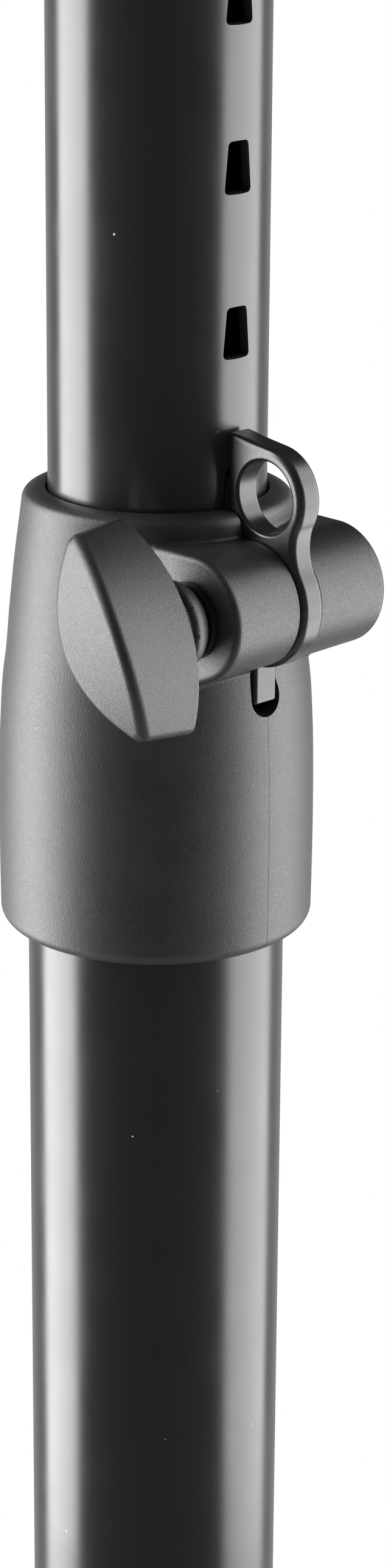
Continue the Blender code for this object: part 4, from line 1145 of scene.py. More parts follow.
def make_clamp_screw():
    """Stud, thrust washer and threaded insert on the clamp axis."""
    ring = ring_corners(WASHER_RADIUS, STUD_HOLE, WASHER_LOW.x, WASHER_HIGH.x, WASHER_EDGE)
    washer = soft_turned("thrust_washer_dark", ring, ROUND_FACETS, AXIS_X, PIVOT_AT_ZERO)
    dress(washer, "clamp_washer", "black_screw", ["thrust_washer"])
    shank_low = STUD_HEAD_HIGH - GAP
    corners = [(0.0, STUD_REACH, 0.0), (STUD_RADIUS, STUD_REACH, STUD_TIP_EDGE),
               (STUD_RADIUS, shank_low, 0.0), (0.0, shank_low, 0.0)]
    shank = soft_turned("stud_steel", corners, ROUND_FACETS, AXIS_X, PIVOT_AT_ZERO)
    head_at = (STUD_HEAD_HIGH - STUD_HEAD_LENGTH / 2.0, PIVOT_Y, PIVOT_Z)
    head = slab("stud_head", [hex_outline(STUD_HEAD_FLATS)], STUD_HEAD_LENGTH, AXIS_X, head_at)
    bevel(head, HEX_EDGE, 2)
    boolean(shank, [head], "UNION")
    shade(shank)
    dress(shank, "clamp_knob", "zinc_steel", ["clamp_stud"])
    middle = (INSERT_START + INSERT_LENGTH / 2.0, PIVOT_Y, PIVOT_Z)
    insert = slab("insert_turned", [hex_outline(INSERT_FLATS)], INSERT_LENGTH, AXIS_X, middle)
    bevel(insert, HEX_EDGE, 2)
    boolean(insert, [rod("insert_bore", STUD_HOLE, CUT_LONG / 2.0, AXIS_X, middle)])
    shade(insert)
    dress(insert, "base", "insert_brass", ["threaded_insert"])


def circle_meet(first, first_radius, second, second_radius):
    """The meeting point of two circles that lies furthest forward."""
    a, b = Vector(first), Vector(second)
    apart = (b - a).length
    along = (apart * apart + first_radius ** 2 - second_radius ** 2) / (2.0 * apart)
    aside = math.sqrt(max(first_radius ** 2 - along ** 2, 0.0))
    line_between = (b - a) / apart
    across = Vector((-line_between.y, line_between.x))
    return max((a + line_between * along + across * aside, a + line_between * along - across * aside),
               key=lambda p: p.x)


def angle_at(centre, point):
    return math.atan2(point[1] - centre[1], point[0] - centre[0])


def forward(points):
    """Latch sizes of (forward, up) to the outline's own x along +Y and y along +Z."""
    return [(-ahead, up) for ahead, up in points]


def latch_outline():
    """Side view of the latch: hook, finger lobe, waist, pivot ring and tail."""
    lobe = (LATCH_LOBE_FORWARD, LATCH_LOBE_UP)
    ring_centre = (0.0, 0.0)
    waist = circle_meet(lobe, LATCH_LOBE_RADIUS + LATCH_WAIST_ROUND, ring_centre,
                        LATCH_RING_RADIUS + LATCH_WAIST_ROUND)
    back = -LATCH_STANDOFF
    tip = Vector((back, LATCH_TIP_UP))
    to_lobe = Vector(lobe) - tip
    lean = math.asin(LATCH_LOBE_RADIUS / to_lobe.length)
    top_angle = math.atan2(to_lobe.y, to_lobe.x) + lean + math.pi / 2.0
    waist_top = angle_at(lobe, waist)
    waist_low = angle_at(ring_centre, waist)
    from_lobe = angle_at(waist, lobe)
    from_ring = angle_at(waist, ring_centre) + 2.0 * math.pi
    points = [(tip.x, tip.y)]
    points += arc(lobe, LATCH_LOBE_RADIUS, top_angle, waist_top, 48)
    points += arc(waist, LATCH_WAIST_ROUND, from_lobe, from_ring, 20)[1:-1]
    tail_front = math.acos(LATCH_TAIL_FORWARD / LATCH_RING_RADIUS)
    points += arc(ring_centre, LATCH_RING_RADIUS, waist_low, -tail_front, 48)
    tail_back = back + LATCH_TAIL_DROP * math.tan(math.radians(LATCH_TAIL_SLOPE))
    tail = [(LATCH_TAIL_FORWARD, -LATCH_RING_RADIUS, 0.0),
            (LATCH_TAIL_FORWARD, -LATCH_TAIL_DROP, LATCH_CORNER),
            (tail_back, -LATCH_TAIL_DROP, LATCH_CORNER), (back, 0.0, 0.0)]
    return points + rounded(tail)[1:]


def hook_outline():
    """Side view of the hook behind the plate."""
    low = LATCH_HOOK_TOP - LATCH_HOOK_HEIGHT
    root = LATCH_HOOK_ROOT - LATCH_STANDOFF
    return [(root, LATCH_HOOK_TOP), (root, low), (-LATCH_HOOK_BACK, low),
            (-LATCH_HOOK_BACK, LATCH_HOOK_TOP - LATCH_HOOK_SLOPE)]


def latch_lines():
    """The latch's outline as arcs and straight lines, for exact distances."""
    lobe = (LATCH_LOBE_FORWARD, LATCH_LOBE_UP)
    waist = circle_meet(lobe, LATCH_LOBE_RADIUS + LATCH_WAIST_ROUND, (0.0, 0.0),
                        LATCH_RING_RADIUS + LATCH_WAIST_ROUND)
    return ((lobe, LATCH_LOBE_RADIUS), (tuple(waist), LATCH_WAIST_ROUND), ((0.0, 0.0), LATCH_RING_RADIUS))


def outline_distance(ahead, up, outline, circles):
    """Signed distance from an outline, exact on the arcs that it follows."""
    inside = np.zeros(len(ahead), dtype=bool)
    nearest = np.full(len(ahead), np.inf)
    on_circle = np.full(len(ahead), np.inf)
    for (ax, ay), (bx, by) in zip(outline, outline[1:] + outline[:1]):
        dx, dy = bx - ax, by - ay
        length = dx * dx + dy * dy
        if length < HAIR * HAIR:
            continue
        t = np.clip(((ahead - ax) * dx + (up - ay) * dy) / length, 0.0, 1.0)
        gap = np.hypot(ahead - ax - t * dx, up - ay - t * dy)
        closer = gap < nearest
        nearest = np.where(closer, gap, nearest)
        exact = gap
        for (cx, cy), radius in circles:
            ends = (abs(math.hypot(ax - cx, ay - cy) - radius), abs(math.hypot(bx - cx, by - cy) - radius))
            if max(ends) < DOUBLE:
                exact = np.abs(np.hypot(ahead - cx, up - cy) - radius)
        on_circle = np.where(closer, exact, on_circle)
        if by != ay:
            crosses = ((ay > up) != (by > up)) & (ahead < dx * (up - ay) / dy + ax)
            inside ^= crosses
    return np.where(inside, -on_circle, on_circle)


def latch_field(points):
    """Latch plate with its hook and finger hole, without the bore and the spring's well."""
    x = points[:, 0]
    ahead = PIVOT_Y - points[:, 1]
    up = points[:, 2] - PIVOT_Z
    plate = outline_distance(ahead, up, LATCH_OUTLINE, LATCH_CIRCLES)
    share = np.clip((up + LATCH_TAIL_START) / LATCH_TAIL_RUN, 0.0, 1.0)
    left = LATCH_EDGE_TAIL_LEFT + (LATCH_EDGE_LEFT - LATCH_EDGE_TAIL_LEFT) * share
    right = LATCH_EDGE_TAIL_RIGHT + (LATCH_EDGE_RIGHT - LATCH_EDGE_TAIL_RIGHT) * share
    front = np.clip((ahead + LATCH_EDGE_BACK) / LATCH_EDGE_RUN, 0.0, 1.0)
    left = LATCH_EDGE_TAIL_LEFT + (left - LATCH_EDGE_TAIL_LEFT) * front
    right = LATCH_EDGE_TAIL_LEFT + (right - LATCH_EDGE_TAIL_LEFT) * front
    plate = round_cut(plate, LATCH_LEFT - x, left)
    plate = round_cut(plate, x - LATCH_RIGHT, right)
    lobe = np.hypot(ahead - LATCH_LOBE_FORWARD, up - LATCH_LOBE_UP)
    plate = round_cut(plate, LATCH_HOLE_RADIUS - lobe, LATCH_HOLE_EDGE)
    hook = outline_distance(ahead, up, hook_outline(), ())
    flare = LATCH_HOOK_FLARE * np.clip((LATCH_HOOK_TOP - up) / LATCH_HOOK_HEIGHT, 0.0, 1.0)
    side = np.maximum(x - LATCH_HOOK_HALF, -x - LATCH_HOOK_HALF - flare)
    return np.minimum(plate, round_cut(hook, side, LATCH_HOOK_EDGE))


def make_latch():
    hole = forward(arc((LATCH_LOBE_FORWARD, LATCH_LOBE_UP), LATCH_HOLE_RADIUS, 0.0, 2.0 * math.pi, 96)[:-1])
    middle = ((LATCH_LEFT + LATCH_RIGHT) / 2.0, PIVOT_Y, PIVOT_Z)
    plate = slab("latch_plate", [forward(LATCH_OUTLINE), hole], LATCH_RIGHT - LATCH_LEFT, ALONG_X, middle)
    hook_width = 2.0 * LATCH_HOOK_HALF + LATCH_HOOK_FLARE / 2.0
    hook = slab("latch_hook", [forward(hook_outline())], hook_width, ALONG_X,
                (-LATCH_HOOK_FLARE / 4.0, PIVOT_Y, PIVOT_Z))
    rough = joined([plate, hook], "latch_lever_plate")
    latch = drawn_onto(rough, sizes().latch_voxel, latch_field, LATCH_DRAW_REACH)
    half = CUT_SHORT / 2.0
    well = rod("spring_well", SPRING_RADIUS + SPRING_WIRE + 2.0 * GAP, half, AXIS_X,
               (SPRING_START - SPRING_WIRE - GAP + half, PIVOT_Y, PIVOT_Z), ROUND_FACETS)
    bore = rod("latch_bore", STUD_HOLE, CUT_SHORT, AXIS_X, PIVOT_AT_ZERO)
    tang = rod("tang_hole", SPRING_WIRE + GAP, CUT_SHORT, AXIS_X,
               (TANG_HOLE_MIDDLE, PIVOT_Y, PIVOT_Z + SPRING_RADIUS))
    boolean(latch, [bore, well, tang])
    field_normals(latch, latch_field, 0.2)
    return dress(latch, "latch_lever", "latch_coating", ["latch"])


def make_spring():
    """Torsion spring about the clamp axis, with a tang at each end."""
    last = SPRING_START + SPRING_TURNS * SPRING_PITCH
    steps = SPRING_TURNS * COIL_STEPS
    places = [(SPRING_START - SPRING_TANG, 0.0), (SPRING_START - SPRING_BEND, 0.0)]
    places += [(SPRING_START + (last - SPRING_START) * step / steps,
                2.0 * math.pi * SPRING_TURNS * step / steps) for step in range(steps + 1)]
    places += [(last + SPRING_BEND, 0.0), (last + SPRING_TANG, 0.0)]
    curve = bpy.data.curves.new("latch_spring_line", "CURVE")
    curve.dimensions = "3D"
    curve.bevel_depth = SPRING_WIRE
    curve.bevel_resolution = 3
    curve.use_fill_caps = True
    spline = curve.splines.new("POLY")
    spline.points.add(len(places) - 1)
    for point, (x, turn) in zip(spline.points, places):
        point.co = (x, PIVOT_Y - SPRING_RADIUS * math.sin(turn),
                    PIVOT_Z + SPRING_RADIUS * math.cos(turn), 1.0)
    guide = link("latch_spring_guide", curve)
    spring = mended(link("latch_spring_wire", evaluated_mesh(guide)))
    bpy.data.objects.remove(guide)
    shade(spring, 60.0)
    return dress(spring, "latch_lever", "spring_steel", ["latch_spring"])


LATCH_OUTLINE = latch_outline()
LATCH_CIRCLES = latch_lines()


def wall_profile(outer, inner, low, high, edge):
    """Profile of a tube wall with rounded rims."""
    return [(outer, high - edge), (outer, low + edge), (outer - edge, low), (inner + edge, low),
            (inner, low + edge), (inner, high - edge), (inner + edge, high), (outer - edge, high)]


def radial_shading(obj, radius):
    """Exact round shading for the outer wall of a tube, so that cuts leave no mark in its reflections."""
    mesh = obj.data
    mesh.polygons.foreach_set("use_smooth", [True] * len(mesh.polygons))
    mesh.set_sharp_from_angle(angle=math.radians(50.0))
    normals = np.array([tuple(corner.vector) for corner in mesh.corner_normals])
    places = vertex_places(mesh)
    for face in mesh.polygons:
        centre = Vector((face.center.x, face.center.y, 0.0)).normalized()
        outward = face.normal.dot(centre) > 0.999
        on_wall = outward and math.hypot(face.center.x, face.center.y) > radius * 0.98
        for loop in face.loop_indices:
            x, y, _ = places[mesh.loops[loop].vertex_index]
            span = math.hypot(x, y)
            if on_wall or (abs(span - radius) < HAIR and abs(normals[loop][2]) < 0.5):
                normals[loop] = (x / span, y / span, 0.0)
    mesh.normals_split_custom_set(normals.tolist())


def make_outer_tube():
    profile = wall_profile(OUTER_RADIUS, OUTER_RADIUS - TUBE_WALL, OUTER_LOW.z, OUTER_HIGH.z, TUBE_EDGE)
    tube = turned("outer_tube_wall", profile, TUBE_FACETS)
    boolean(tube, [rod("screw_hole", COLLAR_SCREW_RADIUS + GAP, TUBE_WALL * 2.0, AXIS_Y,
                       (0.0, OUTER_RADIUS, COLLAR_FLOOR + SCREW_UP))])
    radial_shading(tube, OUTER_RADIUS)
    return dress(tube, "base", "satin_paint", ["outer_tube"])


def slot_outline(grown):
    """Front view of a locking slot, its sides moved out by a little."""
    top = SLOT_TOP_WIDTH / 2.0 + grown
    low = SLOT_BOTTOM_WIDTH / 2.0 + grown
    tall = SLOT_HEIGHT / 2.0 + grown
    corner = SLOT_CORNER + grown
    return rounded([(top, tall, corner), (-top, tall, corner), (-low, -tall, corner), (low, -tall, corner)])


def slot_cutters(name, layers):
    """All locking slots of the inner tube as one cutter, through (y, growth) layers."""
    middle = PIVOT_Z + SLOT_UP
    cutters = []
    for step in range(-SLOTS_BELOW, SLOTS_ABOVE + 1):
        up = middle + step * SLOT_PITCH
        rings = [[(x, y, up + z) for x, z in slot_outline(grown)] for y, grown in layers]
        cutters.append(lofted(name, rings))
    return joined(cutters, name)


def make_inner_tube():
    """Tube with its row of slots, each with a softened edge, and the holes of screws and pin."""
    profile = wall_profile(INNER_RADIUS, INNER_RADIUS - TUBE_WALL, INNER_LOW.z, INNER_HIGH.z, TUBE_EDGE)
    tube = turned("inner_tube_wall", profile, TUBE_FACETS)
    reach = 2.0 * INNER_RADIUS
    side = rod("side_hole", SIDE_HOLE_RADIUS, reach, AXIS_X,
               (0.0, 0.0, INNER_HIGH.z - SIDE_HOLE_DROP), HOLE_FACETS)
    pin = rod("pin_hole", GLIDE_HOLE_RADIUS, reach, AXIS_X,
              (0.0, 0.0, INNER_LOW.z + GLIDE_HOLE_UP), HOLE_FACETS)
    slots = slot_cutters("slots", ((-1.2 * INNER_RADIUS, 0.0), (-0.8 * INNER_RADIUS, 0.0)))
    deep, proud = -INNER_RADIUS + SLOT_EDGE_DEPTH, -INNER_RADIUS - SLOT_EDGE_DEPTH
    spread = SLOT_EDGE_SPREAD * SLOT_EDGE_DEPTH
    edges = slot_cutters("slot_edges", ((deep, -5.0 * HAIR), (proud, spread)))
    boolean(tube, [slots, edges, side, pin])
    radial_shading(tube, INNER_RADIUS)
    return dress(tube, "column", "satin_paint", ["inner_tube"])


# Small fixings, base and head


def cross_cutter(width, length, depth, at):
    """Two crossed bars that cut the recess of a cross head screw."""
    bars = [slab("bar", [box_outline(width, length)], depth, UPRIGHT, at),
            slab("bar", [box_outline(length, width)], depth, UPRIGHT, at)]
    return boolean(bars[0], [bars[1]], "UNION")


def screw_head(name, radius, height, socket, turn, at, shank, cross=False):
    """Low domed head with a six sided or cross recess, its seat at local zero and its dome towards +Z."""
    dome_radius = radius * HEAD_DOME
    flat = radius * HEAD_FLAT
    rim = height - dome_radius + math.sqrt(dome_radius ** 2 - flat ** 2)
    profile = [(0.0, height)]
    for step in range(1, HEAD_STEPS + 1):
        share = flat * step / HEAD_STEPS
        profile.append((share, height - dome_radius + math.sqrt(dome_radius ** 2 - share ** 2)))
    profile += [(radius * HEAD_RIM, rim - 0.0001), (radius, rim - 0.0003), (radius, 0.0002),
                (radius - 0.0002, 0.0)]
    shank_radius, shank_length = shank
    profile += [(shank_radius, 0.0), (shank_radius, -shank_length + SHANK_TIP),
                (shank_radius - SHANK_TIP, -shank_length), (0.0, -shank_length)]
    head = turned(name, profile, SCREW_FACETS)
    depth = height * RECESS_DEPTH
    if cross:
        cutter = cross_cutter(socket * CROSS_WIDTH, socket, 2.0 * depth, (0.0, 0.0, height))
    else:
        cutter = slab("recess", [hex_outline(socket)], 2.0 * depth, UPRIGHT, (0.0, 0.0, height))
    boolean(head, [cutter])
    shade(head, 40.0)
    return settle(head, turn, at)


def soft_plate(name, box, corner, edge, inset=0.0):
    """Flat plate that fills a box, with rounded corners and softened edges."""
    low, high = box
    outline = box_outline(high.x - low.x - 2.0 * inset, high.y - low.y - 2.0 * inset, corner, 20)
    plate = slab(name, [outline], high.z - low.z, UPRIGHT, (low + high) / 2.0)
    return bevel(plate, edge, 5, 60.0)


def foot_places():
    low, high = FOOT_BOX
    x, y = (low.x + high.x) / 2.0, (low.y + high.y) / 2.0
    return [(x, y), (-x, y), (-x, -y), (x, -y)]


def make_base_plate():
    plate = soft_plate("base_plate_steel", BASE_PLATE_BOX, BASE_CORNER, BASE_EDGE)
    low = BASE_PLATE_BOX[0].z
    holes = [rod("bolt_hole", BOLT_RADIUS + GAP, CUT_LONG / 2.0, UPRIGHT, (0.0, 0.0, low))]
    holes += [rod("foot_hole", FOOT_SCREW_RADIUS + GAP, FOOT_SCREW_BITE + GAP, UPRIGHT, (x, y, low))
              for x, y in foot_places()]
    boolean(plate, holes)
    shade(plate, 40.0)
    dress(plate, "base", "powder_coated_steel", ["base_plate"])


def make_feet():
    low, high = FOOT_BOX
    radius = (high.x - low.x) / 2.0
    bore = FOOT_SCREW_RADIUS + GAP
    corners = [(radius, high.z, 0.0008)]
    for height in FOOT_GROOVE_HEIGHTS:
        corners += [(radius, height, 0.0002), (radius - FOOT_GROOVE, height - 0.0003, 0.0001),
                    (radius - FOOT_GROOVE, height - 0.0006, 0.0001), (radius, height - 0.0009, 0.0002)]
    corners += [(radius, low.z, FOOT_EDGE), (FOOT_RECESS_RADIUS, low.z, 0.0006),
                (FOOT_RECESS_RADIUS, FOOT_RECESS_DEPTH, 0.0004), (bore, FOOT_RECESS_DEPTH, 0.0),
                (bore, high.z, 0.0)]
    seat = FOOT_RECESS_DEPTH - GAP
    length = BASE_PLATE_BOX[0].z + FOOT_SCREW_BITE - seat
    for i, (x, y) in enumerate(foot_places(), 1):
        foot = soft_turned("foot_rubber_%d" % i, corners, ROUND_FACETS, UPRIGHT, (x, y, 0.0))
        dress(foot, "base", "foot_rubber", ["base_foot_%d" % i])
        screw = screw_head("foot_fixing_%d" % i, *FOOT_SCREW_HEAD, FOOT_SCREW_CROSS, UPSIDE_DOWN,
                           (x, y, seat), (FOOT_SCREW_RADIUS, length), True)
        dress(screw, "base", "zinc_steel", ["foot_screw_%d" % i])


def make_column_fixing():
    low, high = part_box("bolt_washer")
    washer = soft_turned("washer_plated", ring_corners(high.x, BOLT_RADIUS + GAP, low.z, high.z, 0.0006))
    dress(washer, "base", "zinc_steel", ["bolt_washer"])
    low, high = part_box("column_plug")
    plug = soft_turned("plug_plated", ring_corners(high.x, BOLT_RADIUS + GAP, low.z, high.z, 0.0008))
    dress(plug, "base", "zinc_steel", ["column_plug"])
    low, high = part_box("column_bolt")
    top = low.z + BOLT_HEAD_HEIGHT
    head = slab("bolt_plated", [hex_outline(BOLT_FLATS)], BOLT_HEAD_HEIGHT, UPRIGHT,
                (0.0, 0.0, (low.z + top) / 2.0))
    outer = BOLT_FLATS / math.sqrt(3.0) + BOLT_CHAMFER
    face = BOLT_FLATS / 2.0 * BOLT_FACE
    drop = (outer - face) * math.tan(math.radians(30.0))
    above = top + BOLT_CHAMFER
    cone = turned("bolt_cone", [(0.0, above), (outer, above), (outer, low.z + drop), (face, low.z),
                                (0.0, low.z)], ROUND_FACETS)
    boolean(head, [cone], "INTERSECT")
    profile = [(0.0, high.z), (BOLT_RADIUS - BOLT_CHAMFER, high.z), (BOLT_RADIUS, high.z - BOLT_CHAMFER),
               (BOLT_RADIUS, top - GAP), (0.0, top - GAP)]
    shank = turned("bolt_shank", profile, SCREW_FACETS)
    boolean(head, [shank], "UNION")
    shade(head, 30.0)
    dress(head, "base", "zinc_steel", ["column_bolt"])


def make_trim():
    low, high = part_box("base_trim")
    bore = OUTER_RADIUS + GAP
    inner_edge = bore + TRIM_LIP
    rise = high.z - low.z - TRIM_LIP
    profile = [(bore, high.z - TRIM_EDGE), (bore + TRIM_EDGE, high.z), (inner_edge - TRIM_EDGE, high.z)]
    for step in range(TRIM_STEPS + 1):
        sweep = math.pi / 2.0 * (TRIM_SWEEP_START + (1.0 - TRIM_SWEEP_START) * step / TRIM_STEPS)
        profile.append((inner_edge + (high.x - inner_edge) * math.sin(sweep),
                        low.z + TRIM_LIP + rise * math.cos(sweep)))
    profile += [(high.x, low.z + 0.0005), (high.x - 0.0005, low.z), (bore, low.z)]
    trim = shade(turned("base_trim_moulding", profile, TRIM_FACETS), 30.0)
    dress(trim, "base", "grained_plastic", ["base_trim"])


def make_slides():
    """Split bush in the collar, and the glide with its pin in the foot of the inner tube."""
    low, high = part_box("guide_bush")
    flange = low.z + BUSH_FLANGE
    bore = INNER_RADIUS + GAP
    sleeve = BUSH_BORE - GAP
    corners = [(sleeve, high.z, 0.0004), (sleeve, flange, 0.0), (high.x, flange, 0.0003),
               (high.x, low.z, 0.0003), (bore, low.z, 0.0003), (bore, high.z, 0.0004)]
    bush = turned("bush_turned", rounded(corners, SOFT_STEPS), TUBE_FACETS)
    split = slab("split", [box_outline(BUSH_SPLIT, SLIT_REACH)], 0.1, UPRIGHT,
                 (0.0, -SLIT_REACH / 2.0, high.z))
    boolean(bush, [split])
    shade(bush, 50.0)
    dress(bush, "base", "slide_plastic", ["guide_bush"])
    low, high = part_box("lower_glide")
    flange = INNER_LOW.z - GAP
    sleeve = INNER_RADIUS - TUBE_WALL - GAP
    bore = sleeve - GLIDE_WALL
    corners = [(sleeve, high.z, 0.0006), (sleeve, flange, 0.0), (high.x, flange, 0.0008),
               (high.x, low.z, 0.0012), (bore, low.z, 0.0006), (bore, high.z, 0.0006)]
    glide = turned("glide_turned", rounded(corners, SOFT_STEPS), TRIM_FACETS)
    pin_z = INNER_LOW.z + GLIDE_HOLE_UP
    boolean(glide, [rod("pin_bore", GLIDE_HOLE_RADIUS, CUT_LONG, AXIS_X, (0.0, 0.0, pin_z))])
    shade(glide, 50.0)
    dress(glide, "column", "slide_plastic", ["lower_glide"])
    half = INNER_RADIUS - GAP
    corners = [(0.0, half, 0.0), (GLIDE_PIN_RADIUS, half, 0.0004), (GLIDE_PIN_RADIUS, -half, 0.0004),
               (0.0, -half, 0.0)]
    pin = soft_turned("pin_plated", corners, SCREW_FACETS, AXIS_X, (0.0, 0.0, pin_z))
    dress(pin, "column", "zinc_steel", ["glide_pin"])


def make_head():
    low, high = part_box("top_socket")
    flange_low = high.z - FLANGE_THICKNESS
    spigot = INNER_RADIUS - TUBE_WALL - GAP
    bore = spigot - SPIGOT_WALL
    corners = [(FLANGE_RADIUS, high.z, 0.0005), (FLANGE_RADIUS, flange_low, 0.0010),
               (spigot, flange_low, 0.0), (spigot, low.z, 0.0010), (bore, low.z, 0.0010),
               (bore, high.z, 0.0010)]
    socket = turned("socket_steel", rounded(corners, SOFT_STEPS), TRIM_FACETS)
    plate_low, plate_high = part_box("top_plate")
    plate = soft_plate("top_plate_steel", (plate_low, plate_high), TOP_CORNER, TOP_EDGE)
    tip = plate_high.z - 2.0 * GAP
    turns = [math.radians(45.0 + 90.0 * i) for i in range(4)]
    places = [(PLATE_SCREW_CIRCLE * math.cos(t), PLATE_SCREW_CIRCLE * math.sin(t)) for t in turns]
    for piece in (socket, plate):
        boolean(piece, [rod("screw_hole", PLATE_SCREW_RADIUS + GAP, tip + GAP - flange_low + GAP, UPRIGHT,
                            (x, y, flange_low - GAP)) for x, y in places])
    side_z = INNER_HIGH.z - SIDE_HOLE_DROP
    boolean(socket, [rod("side_bore", SOCKET_SCREW_RADIUS + GAP, 0.03, AXIS_X, (0.0, 0.0, side_z))])
    dress(shade(socket, 40.0), "column", "powder_coated_steel", ["top_socket"])
    dress(shade(plate, 40.0), "column", "powder_coated_steel", ["top_plate"])
    for i, side in enumerate((1.0, -1.0), 1):
        screw = screw_head("socket_fixing_%d" % i, *SOCKET_SCREW_HEAD, SOCKET_SCREW_KEY,
                           (0.0, side * math.pi / 2.0, 0.0), (side * (INNER_RADIUS + GAP), 0.0, side_z),
                           (SOCKET_SCREW_RADIUS, SOCKET_SCREW_LENGTH))
        dress(screw, "column", "black_screw", ["socket_screw_%d" % i])
    seat = flange_low - GAP
    for i, (x, y) in enumerate(places, 1):
        screw = screw_head("plate_fixing_%d" % i, *PLATE_SCREW_HEAD, PLATE_SCREW_KEY, UPSIDE_DOWN,
                           (x, y, seat), (PLATE_SCREW_RADIUS, tip - seat))
        dress(screw, "column", "black_screw", ["plate_screw_%d" % i])
    make_mat()


def make_mat():
    """Rubber mat with a rounded edge and a shallow channel along its border."""
    low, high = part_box("top_mat")
    mat = soft_plate("mat_rubber_pad", (low, high), TOP_CORNER - MAT_INSET, MAT_EDGE)
    width, depth = high.x - low.x, high.y - low.y
    borders = [box_outline(width - 2.0 * inset, depth - 2.0 * inset, TOP_CORNER - MAT_INSET - inset, 12)
               for inset in (MAT_CHANNEL_OUTER, MAT_CHANNEL_INNER)]
    boolean(mat, [slab("channel", borders, 2.0 * MAT_CHANNEL, UPRIGHT, (0.0, 0.0, high.z))])
    dress(shade(mat, 40.0), "column", "mat_rubber", ["top_mat"])


class STAND_OT_base(bpy.types.Operator):
    """Base plate with its feet, the column's bolt and the trim ring"""
    bl_idname = "stand.base"
    bl_label = "Base"

    def execute(self, context):
        make_base_plate()
        make_feet()
        make_column_fixing()
        make_trim()
        return {"FINISHED"}


class STAND_OT_tubes(bpy.types.Operator):
    """Outer tube, and inner tube with its row of locking slots"""
    bl_idname = "stand.tubes"
    bl_label = "Tubes"

    def execute(self, context):
        make_outer_tube()
        make_inner_tube()
        make_slides()
        return {"FINISHED"}


class STAND_OT_collar(bpy.types.Operator):
    """Slit clamp collar with its two ears and its screw"""
    bl_idname = "stand.collar"
    bl_label = "Clamp collar"

    def execute(self, context):
        make_collar()
        return {"FINISHED"}


class STAND_OT_knob(bpy.types.Operator):
    """Wing knob with its stud, washer and insert"""
    bl_idname = "stand.knob"
    bl_label = "Wing knob"

    def execute(self, context):
        make_knob()
        make_clamp_screw()
        return {"FINISHED"}


class STAND_OT_latch(bpy.types.Operator):
    """Latch with its finger hole, and its spring"""
    bl_idname = "stand.latch"
    bl_label = "Latch"

    def execute(self, context):
        make_latch()
        make_spring()
        return {"FINISHED"}


class STAND_OT_head(bpy.types.Operator):
    """Top socket, top plate, their screws and the mat"""
    bl_idname = "stand.head"
    bl_label = "Head"

    def execute(self, context):
        make_head()
        return {"FINISHED"}


# Studio

SOFTBOX_DISTANCE = 0.72
# Each softbox: azimuth as seen from the column, width, lowest and highest edge, and brightness
SOFTBOXES = (("left", 128.0, 0.575, 0.02, 0.93, 5.8), ("left_upper", 128.0, 0.575, 0.93, 1.40, 6.6),
             ("right", 322.1, 0.77, 0.02, 0.93, 3.35), ("right_upper", 322.1, 0.77, 0.93, 1.40, 2.5))
WATTS_PER_BRIGHTNESS = 4.0
VIEW_SIDE = 225.15
DIFFUSE_LEVEL = 0.32
FLOOR_HALF = 6.0
FLOOR_DROP = 0.0002
FLOOR_GLOW = 0.45
# Distance from the column at which the floor starts to turn plain white, and is white
FLOOR_FADE = (0.5, 0.85)
# Ramps of the glossy background: start, end, and the strength at each
GLOSS_BEHIND = (-0.92, -0.55, 0.52, 0.03)
GLOSS_UP = (0.02, 0.25, 1.0, 0.06)
GLOSS_FLOOR = (-0.85, -0.55, 0.3, 0.0)


def make_softboxes():
    for name, azimuth, width, low, high, brightness in SOFTBOXES:
        lamp = bpy.data.lights.new("softbox_" + name, "AREA")
        lamp.shape = "RECTANGLE"
        lamp.size = width
        lamp.size_y = high - low
        lamp.energy = brightness * WATTS_PER_BRIGHTNESS * width * (high - low)
        obj = bpy.data.objects.new("softbox_" + name, lamp)
        bpy.context.scene.collection.objects.link(obj)
        turn = math.radians(azimuth)
        obj.location = (SOFTBOX_DISTANCE * math.cos(turn), SOFTBOX_DISTANCE * math.sin(turn),
                        (low + high) / 2.0)
        obj.rotation_euler = (math.pi / 2.0, 0.0, turn + math.pi / 2.0)
        obj.visible_camera = False


